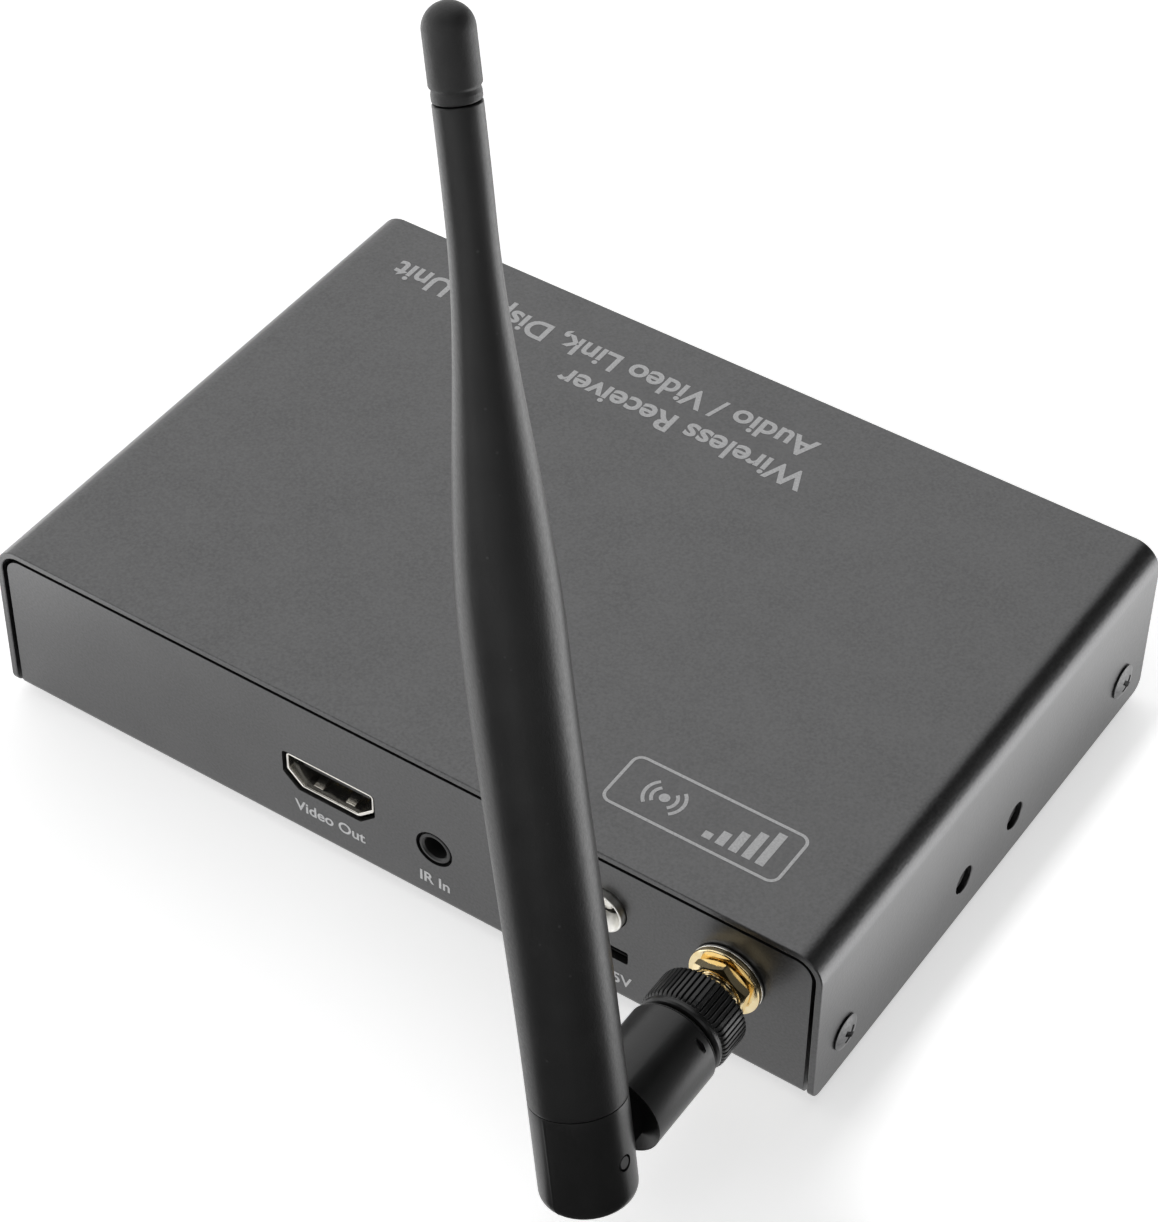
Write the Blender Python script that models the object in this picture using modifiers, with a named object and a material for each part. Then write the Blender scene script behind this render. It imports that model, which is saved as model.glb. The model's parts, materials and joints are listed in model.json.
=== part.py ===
"""Wireless receiver unit: a folded sheet-metal case, its boards and sockets, and a fold-and-swivel antenna.

Metres, +Z up. X is the width, +Y the connector panel, -Y the front face.
The origin is the centre of the base tray's underside. A radius is called R, a half size HALF.
"""

import math

import bmesh
import bpy
from mathutils import Matrix, Vector

MM = 0.001

# Case
WIDTH = 134 * MM
DEPTH = 91 * MM
HEIGHT = 27 * MM
SHEET = 1.0 * MM
COVER_BEND_R = 4.2 * MM
COVER_CORNER_R = 2.0 * MM
TRAY_BEND_R = 1.5 * MM
FIT_GAP = 0.3 * MM
REST_GAP = 0.2 * MM
TRAY_SIDE_GAP = 0.65 * MM
TRAY_TOP_GAP = 0.85 * MM
FLANGE_HEIGHT = 11 * MM
FLANGE_HALF_LENGTH = 41.5 * MM
SIDE_HOLE_Z = 7 * MM
SCREW_Y = 38.2 * MM
BRACKET_HOLE_Y = 7 * MM
BRACKET_HOLE_R = 2.1 * MM
COVER_HOLE_R = 1.7 * MM
TRAY_HOLE_R = 1.55 * MM
TRAY_HALF_WIDTH = WIDTH / 2 - SHEET - TRAY_SIDE_GAP
TRAY_HALF_DEPTH = DEPTH / 2 - FIT_GAP
TRAY_HEIGHT = HEIGHT - SHEET - TRAY_TOP_GAP
PANEL_Y = TRAY_HALF_DEPTH
WALL_Y = PANEL_Y - SHEET

# Feet and fasteners
FOOT_R = 4.5 * MM
FOOT_PROUD = 1.6 * MM
FOOT_SEAT_R = 4.8 * MM
FOOT_SEAT_DEPTH = 0.3 * MM
FOOT_GAP = 0.1 * MM
FOOT_XY = (55 * MM, 33 * MM)
HEAD_R = 2.7 * MM
HEAD_HEIGHT = 0.85 * MM
SHANK_R = 1.3 * MM
SHANK_LENGTH = 4.6 * MM
CROSS_LENGTH = 3.0 * MM
CROSS_WIDTH = 0.75 * MM
CROSS_DEPTH = 0.6 * MM

# Main board
BOARD_HALF_X = 60 * MM
BOARD_HALF_Y = 41 * MM
BOARD_THICKNESS = 1.6 * MM
BOARD_TOP = 7.0 * MM
BOARD_BOTTOM = BOARD_TOP - BOARD_THICKNESS
PART_Z = BOARD_TOP + REST_GAP
STANDOFF_XY = (54 * MM, 34 * MM)
STANDOFF_R = 2.7 * MM
STANDOFF_BORE_R = 1.55 * MM

# Video output: its cut-out and receptacle are narrower at the bottom
VIDEO_X = 10.2 * MM
VIDEO_Z = 11.65 * MM
VIDEO_CUT_HALF = (7.75 * MM, 3.2 * MM)
VIDEO_SHELL_HALF = (7.35 * MM, 2.75 * MM)
VIDEO_CHAMFER = (2.5 * MM, 2.3 * MM)
VIDEO_WALL = 0.4 * MM
VIDEO_FRONT_Y = PANEL_Y - 0.3 * MM
VIDEO_LENGTH = 11 * MM

# Infrared input jack
INFRARED_X = -7.3 * MM
INFRARED_Z = 10.6 * MM
INFRARED_HOLE_R = 2.95 * MM
INFRARED_BUSH_R = 2.55 * MM
INFRARED_BORE_R = 1.8 * MM
INFRARED_BORE_DEPTH = 11 * MM

# Power socket and the service port under it
POWER_X = -34.4 * MM
POWER_Z = 16.7 * MM
POWER_HOLE_R = 3.55 * MM
POWER_BARREL_R = 3.1 * MM
POWER_BORE_R = 2.6 * MM
POWER_PROUD = 1.1 * MM
POWER_BODY_R = 4.6 * MM
POWER_BACK_Y = 34 * MM
SERVICE_Z = 8.75 * MM
SERVICE_CUT_HALF = (3.85 * MM, 1.15 * MM)
SERVICE_SHELL_HALF = (4.1 * MM, 1.5 * MM)
SERVICE_MOUTH_HALF = (3.7 * MM, 1.1 * MM)
SERVICE_LENGTH = 5 * MM

# Front face: pairing button and two indicator lamps
BUTTON_X = -22 * MM
BUTTON_Z = 11.5 * MM
BUTTON_R = 2.3 * MM
BUTTON_HOLE_R = 2.6 * MM
BUTTON_PROUD = 1.2 * MM
BUTTON_BACK = 2.6 * MM
LAMP_X = (-32 * MM, -38 * MM)
LAMP_R = 1.4 * MM
LAMP_HOLE_R = 1.7 * MM
LAMP_LENGTH = 6 * MM

# Antenna connector, measured out from the panel
ANTENNA_X = -53.5 * MM
ANTENNA_Z = 15.95 * MM
THREAD_R = 3.17 * MM
THREAD_HOLE_R = 3.4 * MM
BULKHEAD_OUT = 8.8 * MM
BULKHEAD_BACK_Y = 35.3 * MM
SOCKET_BORE_R = 2.3 * MM
WASHER_R = 5.3 * MM
LOCK_WASHER_SPAN = (0.2 * MM, 0.6 * MM)
WASHER_SPAN = (0.8 * MM, 1.45 * MM)
HEX_SPAN = (1.65 * MM, 3.4 * MM)
HEX_CORNER_R = 4.62 * MM
HEX_TURN = 40

# Coupling nut
NUT_START = 5.95 * MM
NUT_LENGTH = 6.3 * MM
NUT_CORE_R = 6.05 * MM
NUT_RIB_R = 6.4 * MM
NUT_RIBS = 36
NUT_REAR_BORE_R = 2.65 * MM
NUT_REAR_WALL = 2.0 * MM

# Knuckle: a tongue on the elbow turns in a slot in the whip's round base
HINGE_OUT = 33.0 * MM
SWIVEL = math.radians(16.2)
FOLD = math.radians(102)
ELBOW_R = 6.4 * MM
ELBOW_START = 12.6 * MM
ELBOW_SHOULDER = 1.2 * MM
ELBOW_BORE_R = 2.7 * MM
ELBOW_BORE_DEPTH = 5 * MM
ELBOW_DISH_R = 9.4 * MM
TONGUE_R = 4.2 * MM
TONGUE_HALF = 2.0 * MM
TONGUE_GAP = 0.2 * MM
TONGUE_ROOT = 11 * MM
PIN_R = 1.0 * MM
PIN_HOLE_R = 1.12 * MM
PIN_OPEN_END = 6.1 * MM
PIN_BLIND_END = 5.0 * MM

# Whip, measured along its own axis from the hinge centre
BASE_R = 6.2 * MM
BASE_BELOW = 7.1 * MM
BASE_FILLET = 2.4 * MM
BASE_TOP = 7.8 * MM
SPIGOT_R = 4.7 * MM
SPIGOT_TOP = 17 * MM
SHAFT_R = 2.8 * MM
TAPER_START = 68.5 * MM
TAPER_END = 118.5 * MM
TAPER_STEPS = 16
CAP_START = 132.3 * MM
CAP_R = 2.95 * MM
CAP_PLUG = 5 * MM
WHIP_TOP = 143.0 * MM
ROD_R = 0.8 * MM
ROD_TOP = 124 * MM
BLADE_WALL = 1.3 * MM
SEAM_GAP = 0.15 * MM

Z_TO_PLUS_Y = (-math.pi / 2, 0, 0)
Z_TO_MINUS_Y = (math.pi / 2, 0, 0)
Z_TO_PLUS_X = (0, math.pi / 2, 0)
Z_TO_MINUS_X = (0, -math.pi / 2, 0)
XY_TO_YZ = (math.pi / 2, 0, math.pi / 2)
UPRIGHT = (0, 0, 0)
ROUND_STEPS = 32
SMALL_STEPS = 16
SMOOTH_ANGLE = math.radians(35)


# Scene and materials


def clear_scene():
    for item in list(bpy.data.objects):
        bpy.data.objects.remove(item, do_unlink=True)


def make_collection(name):
    group = bpy.data.collections.new(name)
    bpy.context.scene.collection.children.link(group)
    return group


def make_material(name, color, roughness, metallic=0.0):
    found = bpy.data.materials.new(name)
    found.use_nodes = True
    shader = found.node_tree.nodes["Principled BSDF"]
    shader.inputs["Base Color"].default_value = (*color, 1)
    shader.inputs["Roughness"].default_value = roughness
    shader.inputs["Metallic"].default_value = metallic
    return found


clear_scene()
PARTS = make_collection("wireless_receiver_unit")
CUTTERS = make_collection("cutters")

PAINT = make_material("grey_paint", (0.12, 0.12, 0.122), 0.55)
BLACK_STEEL = make_material("black_screw", (0.05, 0.05, 0.052), 0.4, 1.0)
BLACK_PLASTIC = make_material("black_plastic", (0.012, 0.012, 0.013), 0.4)
SATIN_PLASTIC = make_material("satin_plastic", (0.02, 0.02, 0.021), 0.5)
RUBBER = make_material("black_rubber", (0.02, 0.02, 0.02), 0.8)
GOLD = make_material("gold_plate", (0.85, 0.58, 0.2), 0.18, 1.0)
NICKEL = make_material("nickel", (0.75, 0.74, 0.72), 0.2, 1.0)
BRASS = make_material("plain_brass", (0.7, 0.55, 0.28), 0.3, 1.0)
TIN = make_material("tinned_steel", (0.6, 0.6, 0.6), 0.35, 1.0)
ALUMINIUM = make_material("black_aluminium", (0.03, 0.03, 0.03), 0.45, 1.0)
BOARD_GREEN = make_material("board_green", (0.01, 0.09, 0.04), 0.4)
CHIP_BLACK = make_material("chip_black", (0.02, 0.02, 0.02), 0.6)
CLEAR = make_material("clear_plastic", (0.8, 0.85, 0.85), 0.1)
WHITE = make_material("white_insulator", (0.85, 0.85, 0.82), 0.4)


# Object helpers


def add_object(name, data, finish, location=(0, 0, 0), rotation=UPRIGHT, parent=None):
    made = bpy.data.objects.new(name, data)
    PARTS.objects.link(made)
    made.parent = parent
    made.location = location
    made.rotation_euler = rotation
    if finish:
        data.materials.append(finish)
    return made


def mesh_of(name, shape):
    mesh = bpy.data.meshes.new(name)
    shape.to_mesh(mesh)
    shape.free()
    return mesh


def frame_empty(name, location, rotation, parent=None):
    made = bpy.data.objects.new(name, None)
    PARTS.objects.link(made)
    made.parent = parent
    made.location = location
    made.rotation_euler = rotation
    return made


def smooth(made):
    made.data.shade_smooth()
    made.data.set_sharp_from_angle(angle=SMOOTH_ANGLE)


def box(name, finish, low, high, bevel=0.0, parent=None):
    """A box between two corners, its vertical and flat edges rounded by a Bevel."""
    shape = bmesh.new()
    bmesh.ops.create_cube(shape, size=1)
    size = [b - a for a, b in zip(low, high)]
    bmesh.ops.scale(shape, vec=size, verts=shape.verts)
    centre = [(a + b) / 2 for a, b in zip(low, high)]
    made = add_object(name, mesh_of(name, shape), finish, centre, UPRIGHT, parent)
    if bevel:
        rounding = made.modifiers.new("rounded_edges", "BEVEL")
        rounding.width = bevel
        rounding.segments = 2
    return made


def cylinder(name, finish, radius, length, centre, rotation=UPRIGHT, steps=SMALL_STEPS, parent=None):
    shape = bmesh.new()
    bmesh.ops.create_cone(
        shape, cap_ends=True, segments=steps, radius1=radius, radius2=radius, depth=length
    )
    made = add_object(name, mesh_of(name, shape), finish, centre, rotation, parent)
    smooth(made)
    return made


def turned(
    name, finish, profile, closed=False, location=(0, 0, 0), rotation=UPRIGHT, steps=ROUND_STEPS, parent=None
):
    """A profile of (radius, height) points, its outer side running downwards, turned about local Z."""
    shape = bmesh.new()
    points = [shape.verts.new((radius, 0, height)) for radius, height in profile]
    for first, second in zip(points, points[1:]):
        shape.edges.new((first, second))
    if closed:
        shape.edges.new((points[-1], points[0]))
    made = add_object(name, mesh_of(name, shape), finish, location, rotation, parent)
    lathe = made.modifiers.new("lathe", "SCREW")
    lathe.steps = steps
    lathe.render_steps = steps
    lathe.use_merge_vertices = True
    lathe.merge_threshold = 0.01 * MM
    return made


def ring(outer, inner, low, high):
    """The closed profile of a plain ring."""
    return [(outer, high), (outer, low), (inner, low), (inner, high)]


def arc(centre, radius, start, end, steps):
    """Points on an arc, angles in degrees."""
    angles = [math.radians(start + (end - start) * i / steps) for i in range(steps + 1)]
    return [(centre[0] + radius * math.cos(a), centre[1] + radius * math.sin(a)) for a in angles]


def circle(radius, steps):
    return arc((0, 0), radius, 0, 360 * (1 - 1 / steps), steps - 1)


def outline_solid(name, finish, loops, depth, location=(0, 0, 0), rotation=UPRIGHT, parent=None):
    """A flat outline, with any holes as further loops, made a solid of the given depth about local Z = 0."""
    outline = bpy.data.curves.new(name, "CURVE")
    outline.dimensions = "2D"
    outline.fill_mode = "BOTH"
    outline.extrude = depth / 2
    for loop in loops:
        spline = outline.splines.new("POLY")
        spline.points.add(len(loop) - 1)
        for point, (x, y) in zip(spline.points, loop):
            point.co = (x, y, 0, 1)
        spline.use_cyclic_u = True
    return as_mesh(add_object(name, outline, None, location, rotation, parent), finish)


def tube(name, finish, points, radius, bevel_resolution=2):
    """A wire of round section through the given points."""
    wire = bpy.data.curves.new(name, "CURVE")
    wire.dimensions = "3D"
    wire.bevel_depth = radius
    wire.bevel_resolution = bevel_resolution
    wire.use_fill_caps = True
    spline = wire.splines.new("POLY")
    spline.points.add(len(points) - 1)
    for point, place in zip(spline.points, points):
        point.co = (*place, 1)
    return as_mesh(add_object(name, wire, None), finish)


def as_mesh(curve_object, finish):
    """The curve object made a closed mesh object with the same name and place."""
    bpy.context.view_layer.update()
    seen = curve_object.evaluated_get(bpy.context.evaluated_depsgraph_get())
    mesh = bpy.data.meshes.new_from_object(seen)
    shape = bmesh.new()
    shape.from_mesh(mesh)
    bmesh.ops.remove_doubles(shape, verts=shape.verts, dist=0.001 * MM)
    bmesh.ops.recalc_face_normals(shape, faces=shape.faces)
    shape.to_mesh(mesh)
    shape.free()
    name = curve_object.name
    parent = curve_object.parent
    location = curve_object.location.copy()
    rotation = curve_object.rotation_euler.copy()
    bpy.data.objects.remove(curve_object, do_unlink=True)
    mesh.materials.clear()
    return add_object(name, mesh, finish, location, rotation, parent)


def combine(target, tool, operation):
    """Cut the target with the tool, or join the tool to it. The tool stays behind as a hidden guide."""
    change = target.modifiers.new(tool.name, "BOOLEAN")
    change.operation = operation
    change.object = tool
    change.solver = "EXACT"
    if tool.name in PARTS.objects:
        PARTS.objects.unlink(tool)
        CUTTERS.objects.link(tool)
    tool.hide_render = True
    tool.display_type = "WIRE"


def cut(target, *tools):
    for tool in tools:
        combine(target, tool, "DIFFERENCE")


def join(target, *tools):
    for tool in tools:
        combine(target, tool, "UNION")


def smooth_route(knots, steps):
    """Points along a Catmull-Rom curve through the knots."""
    ends = [knots[0], *knots, knots[-1]]
    route = []
    for a, b, c, d in zip(ends, ends[1:], ends[2:], ends[3:]):
        for i in range(steps):
            t = i / steps
            route.append(tuple(catmull(pa, pb, pc, pd, t) for pa, pb, pc, pd in zip(a, b, c, d)))
    route.append(knots[-1])
    return route


def catmull(a, b, c, d, t):
    return (
        2 * b + (c - a) * t + (2 * a - 5 * b + 4 * c - d) * t * t + (3 * b - a - 3 * c + d) * t**3
    ) / 2


# Case


def edges_where(shape, test):
    return [edge for edge in shape.edges if all(test(vert.co) for vert in edge.verts)]


def make_cover():
    """Roof and two sides: an open sheet with bent edges, thickened inwards."""
    shape = bmesh.new()
    bmesh.ops.create_cube(shape, size=1)
    bmesh.ops.scale(shape, vec=(WIDTH, DEPTH, HEIGHT), verts=shape.verts)
    bmesh.ops.translate(shape, vec=(0, 0, HEIGHT / 2), verts=shape.verts)
    open_faces = [face for face in shape.faces if abs(face.normal.y) > 0.5 or face.normal.z < -0.5]
    bmesh.ops.delete(shape, geom=open_faces, context="FACES")
    bends = [edge for edge in edges_where(shape, lambda co: co.z > HEIGHT / 2) if edge.is_manifold]
    corners = [vert for vert in shape.verts if vert.co.z < HEIGHT / 2]
    bmesh.ops.bevel(
        shape, geom=corners, offset=COVER_CORNER_R, segments=3, profile=0.5, affect="VERTICES"
    )
    bmesh.ops.bevel(shape, geom=bends, offset=COVER_BEND_R, segments=6, profile=0.5, affect="EDGES")
    cover = add_object("top_cover", mesh_of("top_cover", shape), PAINT)
    thicken_inwards(cover)
    cut(cover, side_cutter("cover_side_holes", COVER_HOLE_R, BRACKET_HOLE_R))


def thicken_inwards(sheet):
    wall = sheet.modifiers.new("sheet", "SOLIDIFY")
    wall.thickness = SHEET
    wall.offset = -1
    wall.use_even_offset = True


def side_cutter(name, screw_r, bracket_r):
    """Drills for the screw and bracket holes of both sides, as one object."""
    drills = bmesh.new()
    length = 6 * (SHEET + FIT_GAP)
    across = Matrix.Rotation(math.pi / 2, 3, "Y")
    for y, radius in ((SCREW_Y, screw_r), (BRACKET_HOLE_Y, bracket_r)):
        for side_x, side_y in four_corners(WIDTH / 2, y):
            made = bmesh.ops.create_cone(
                drills, cap_ends=True, segments=SMALL_STEPS, radius1=radius, radius2=radius, depth=length
            )
            bmesh.ops.rotate(drills, verts=made["verts"], matrix=across)
            bmesh.ops.translate(drills, verts=made["verts"], vec=(side_x, side_y, SIDE_HOLE_Z))
    return add_object(name, mesh_of(name, drills), None)


def make_tray():
    """Floor, front and rear walls and side flanges: an open sheet with bent edges, thickened inwards."""
    half_x, half_y = TRAY_HALF_WIDTH, TRAY_HALF_DEPTH
    shape = bmesh.new()
    bmesh.ops.create_grid(shape, x_segments=1, y_segments=3, size=0.5)
    bmesh.ops.scale(shape, vec=(2 * half_x, 2 * half_y, 1), verts=shape.verts)
    for vert in shape.verts:
        if abs(vert.co.y) < half_y / 2:
            vert.co.y = math.copysign(FLANGE_HALF_LENGTH, vert.co.y)
    raise_edges(shape, lambda co: co.y > half_y - MM, TRAY_HEIGHT)
    raise_edges(shape, lambda co: co.y < -half_y + MM, TRAY_HEIGHT)
    for side in (-1, 1):
        raise_edges(
            shape,
            lambda co, side=side: co.x * side > half_x - MM and abs(co.y) < FLANGE_HALF_LENGTH + MM / 2,
            FLANGE_HEIGHT,
        )
    bmesh.ops.recalc_face_normals(shape, faces=shape.faces)
    floor_up = sum(face.normal.z for face in shape.faces if abs(face.normal.z) > 0.5) > 0
    if floor_up:
        bmesh.ops.reverse_faces(shape, faces=shape.faces)
    corner_r = COVER_BEND_R - SHEET - TRAY_SIDE_GAP
    corners = [vert for vert in shape.verts if vert.co.z > TRAY_HEIGHT - MM]
    bmesh.ops.bevel(shape, geom=corners, offset=corner_r, segments=4, profile=0.5, affect="VERTICES")
    bends = [edge for edge in edges_where(shape, lambda co: abs(co.z) < MM / 10) if is_bend(edge)]
    bmesh.ops.bevel(shape, geom=bends, offset=TRAY_BEND_R, segments=3, profile=0.5, affect="EDGES")
    tray = add_object("base_tray", mesh_of("base_tray", shape), PAINT)
    thicken_inwards(tray)
    side_holes = side_cutter("tray_side_holes", TRAY_HOLE_R, TRAY_HOLE_R)
    cut(tray, side_holes, *panel_cutters(), *foot_seat_cutters())


def is_bend(edge):
    return len(edge.link_faces) == 2 and edge.calc_face_angle() > 1


def raise_edges(shape, test, height):
    """Fold up a wall of the given height from the floor edges that pass the test."""
    rim = [
        edge
        for edge in edges_where(shape, test)
        if edge.is_boundary and abs(edge.verts[0].co.z) < MM / 10
    ]
    made = bmesh.ops.extrude_edge_only(shape, edges=rim)
    raised = [item for item in made["geom"] if isinstance(item, bmesh.types.BMVert)]
    bmesh.ops.translate(shape, verts=raised, vec=(0, 0, height))


def panel_cutters():
    """Cutters for every opening in the rear panel and the front wall."""
    depth = 6 * SHEET
    rear = PANEL_Y - SHEET / 2
    front = -rear
    video = outline_solid(
        "video_cut", None, [video_outline(*VIDEO_CUT_HALF)], depth, (VIDEO_X, rear, VIDEO_Z), Z_TO_MINUS_Y
    )
    service = box(
        "service_cut",
        None,
        (POWER_X - SERVICE_CUT_HALF[0], rear - depth / 2, SERVICE_Z - SERVICE_CUT_HALF[1]),
        (POWER_X + SERVICE_CUT_HALF[0], rear + depth / 2, SERVICE_Z + SERVICE_CUT_HALF[1]),
    )
    holes = (
        ("infrared_cut", INFRARED_HOLE_R, INFRARED_X, rear, INFRARED_Z),
        ("power_cut", POWER_HOLE_R, POWER_X, rear, POWER_Z),
        ("antenna_cut", THREAD_HOLE_R, ANTENNA_X, rear, ANTENNA_Z),
        ("button_cut", BUTTON_HOLE_R, BUTTON_X, front, BUTTON_Z),
        ("lamp_cut_1", LAMP_HOLE_R, LAMP_X[0], front, BUTTON_Z),
        ("lamp_cut_2", LAMP_HOLE_R, LAMP_X[1], front, BUTTON_Z),
    )
    drills = [
        cylinder(name, None, radius, depth, (x, y, z), Z_TO_PLUS_Y, steps=24)
        for name, radius, x, y, z in holes
    ]
    return [video, service, *drills]


def foot_seat_cutters():
    """Shallow round seats in the underside, each a little wider than its foot."""
    return [
        cylinder(f"foot_seat_cut_{i + 1}", None, FOOT_SEAT_R, 2 * FOOT_SEAT_DEPTH, (x, y, 0), steps=24)
        for i, (x, y) in enumerate(four_corners(*FOOT_XY))
    ]


def video_outline(half_width, half_height):
    """The video receptacle's outline: square at the top, its lower corners cut."""
    across, up = VIDEO_CHAMFER
    return [
        (-half_width, half_height),
        (-half_width, up - half_height),
        (across - half_width, -half_height),
        (half_width - across, -half_height),
        (half_width, up - half_height),
        (half_width, half_height),
    ]


def make_feet():
    top = FOOT_SEAT_DEPTH - FOOT_GAP
    profile = [
        (0, top),
        (FOOT_R, top),
        (FOOT_R, 0.4 * MM - FOOT_PROUD),
        (FOOT_R - 0.5 * MM, -FOOT_PROUD),
        (0, -FOOT_PROUD),
    ]
    for i, (x, y) in enumerate(four_corners(*FOOT_XY)):
        turned(f"rubber_foot_{i + 1}", RUBBER, profile, location=(x, y, 0), steps=24)


def four_corners(x, y):
    return ((-x, -y), (-x, y), (x, -y), (x, y))


# Fasteners


def screw_profile(head_r, head_height, shank_r, shank_length):
    """A pan head over a plain shank, its underside at height 0."""
    return [
        (0, head_height),
        (0.55 * head_r, 0.93 * head_height),
        (0.85 * head_r, 0.65 * head_height),
        (head_r, 0.15 * head_height),
        (head_r, 0),
        (shank_r, 0),
        (shank_r, 0.5 * MM - shank_length),
        (0.6 * shank_r, -shank_length),
        (0, -shank_length),
    ]


def make_screw(name, location, rotation, length):
    screw = turned(
        name,
        BLACK_STEEL,
        screw_profile(HEAD_R, HEAD_HEIGHT, SHANK_R, length),
        location=location,
        rotation=rotation,
        steps=SMALL_STEPS,
    )
    cross = cross_cutter(f"{name}_cross", screw)
    cut(screw, cross)
    return screw


def cross_cutter(name, screw):
    """A plus-shaped recess cutter in the screw's own frame."""
    long, wide = CROSS_LENGTH / 2, CROSS_WIDTH / 2
    outline = []
    for quarter in range(4):
        turn = Matrix.Rotation(quarter * math.pi / 2, 2)
        outline += [turn @ Vector(corner) for corner in ((long, -wide), (long, wide), (wide, wide))]
    return outline_solid(
        name, None, [outline], 2 * CROSS_DEPTH, (0, 0, HEAD_HEIGHT), (0, 0, math.pi / 4), screw
    )


def make_cover_screws():
    under_head = WIDTH / 2 + 0.1 * MM
    places = (
        (-under_head, -SCREW_Y, Z_TO_MINUS_X),
        (-under_head, SCREW_Y, Z_TO_MINUS_X),
        (under_head, -SCREW_Y, Z_TO_PLUS_X),
        (under_head, SCREW_Y, Z_TO_PLUS_X),
    )
    for i, (x, y, rotation) in enumerate(places):
        make_screw(f"cover_screw_{i + 1}", (x, y, SIDE_HOLE_Z), rotation, SHANK_LENGTH)


# Main board and its parts


def make_main_board():
    board = box(
        "main_board",
        BOARD_GREEN,
        (-BOARD_HALF_X, -BOARD_HALF_Y, BOARD_BOTTOM),
        (BOARD_HALF_X, BOARD_HALF_Y, BOARD_TOP),
    )
    for i, (x, y) in enumerate(four_corners(*STANDOFF_XY)):
        centre = (x, y, BOARD_BOTTOM)
        cut(board, cylinder(f"board_hole_{i + 1}", None, STANDOFF_BORE_R, 4 * BOARD_THICKNESS, centre))
        low = SHEET + REST_GAP
        high = BOARD_BOTTOM - REST_GAP
        profile = ring(STANDOFF_R, STANDOFF_BORE_R, low, high)
        turned(f"board_standoff_{i + 1}", BRASS, profile, closed=True, location=(x, y, 0), steps=12)
        make_screw(f"board_screw_{i + 1}", (x, y, PART_Z), UPRIGHT, PART_Z - low)


def make_processor():
    half = 8.5 * MM
    x, y = 14 * MM, -8 * MM
    top = PART_Z + 1.4 * MM
    box("processor", CHIP_BLACK, (x - half, y - half, PART_Z), (x + half, y + half, top))
    make_heat_sink(x, y, top + REST_GAP)


def make_heat_sink(x, y, z):
    """A comb section, drawn along Y."""
    half, plate, fin_top, fins = 13 * MM, 2 * MM, 8 * MM, 8
    fin_width = 1.1 * MM
    pitch = (2 * half - fin_width) / (fins - 1)
    outline = [(-half, 0), (half, 0), (half, fin_top)]
    for i in range(fins - 1):
        left = half - i * pitch - fin_width
        next_right = half - (i + 1) * pitch
        outline += [(left, fin_top), (left, plate), (next_right, plate), (next_right, fin_top)]
    outline.append((-half, fin_top))
    outline_solid("heat_sink", ALUMINIUM, [outline], 2 * half, (x, y, z), Z_TO_MINUS_Y)


def make_power_parts():
    base = PART_Z
    for i, y in enumerate((33 * MM, 22 * MM)):
        profile = [(0, 11 * MM), (3.6 * MM, 11 * MM), (4 * MM, 10.6 * MM), (4 * MM, 0), (0, 0)]
        turned(f"filter_capacitor_{i + 1}", SATIN_PLASTIC, profile, location=(-18 * MM, y, base), steps=24)
    box("inductor", CHIP_BLACK, (-33 * MM, 16 * MM, base), (-24 * MM, 25 * MM, base + 4.5 * MM), 0.6 * MM)


def make_radio():
    """Plug-in radio board with its can, header and micro coaxial connector."""
    low_x, high_x, low_y, high_y = -52 * MM, -22 * MM, -22 * MM, 14 * MM
    base = PART_Z + 2.2 * MM
    top = base + 1.0 * MM
    box("radio_board", BOARD_GREEN, (low_x, low_y, base), (high_x, high_y, top))
    box(
        "radio_header",
        BLACK_PLASTIC,
        (low_x + 4 * MM, low_y + 3 * MM, PART_Z),
        (high_x - 4 * MM, low_y + 8 * MM, base - REST_GAP),
    )
    box(
        "radio_shield",
        TIN,
        (low_x + 4 * MM, low_y + 4 * MM, top + REST_GAP),
        (high_x - 4 * MM, high_y - 10 * MM, top + 3.2 * MM),
        0.4 * MM,
    )
    connector_x, connector_y = -46 * MM, 9 * MM
    connector_top = top + 1.6 * MM
    cylinder(
        "coax_connector",
        GOLD,
        1.4 * MM,
        connector_top - top - REST_GAP,
        (connector_x, connector_y, (connector_top + top + REST_GAP) / 2),
    )
    lead_r = 0.65 * MM
    lead_z = connector_top + REST_GAP + lead_r
    tail_y = 35 * MM
    knots = [
        (ANTENNA_X, tail_y, ANTENNA_Z),
        (ANTENNA_X, tail_y - 5 * MM, ANTENNA_Z),
        (ANTENNA_X + 1 * MM, tail_y - 12 * MM, ANTENNA_Z - 1.6 * MM),
        (connector_x - 3 * MM, connector_y + 8 * MM, lead_z + 0.6 * MM),
        (connector_x - 0.5 * MM, connector_y + 2 * MM, lead_z),
        (connector_x, connector_y, lead_z),
    ]
    tube("coax_lead", SATIN_PLASTIC, smooth_route(knots, 4), lead_r)


# Sockets in the rear panel


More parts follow.
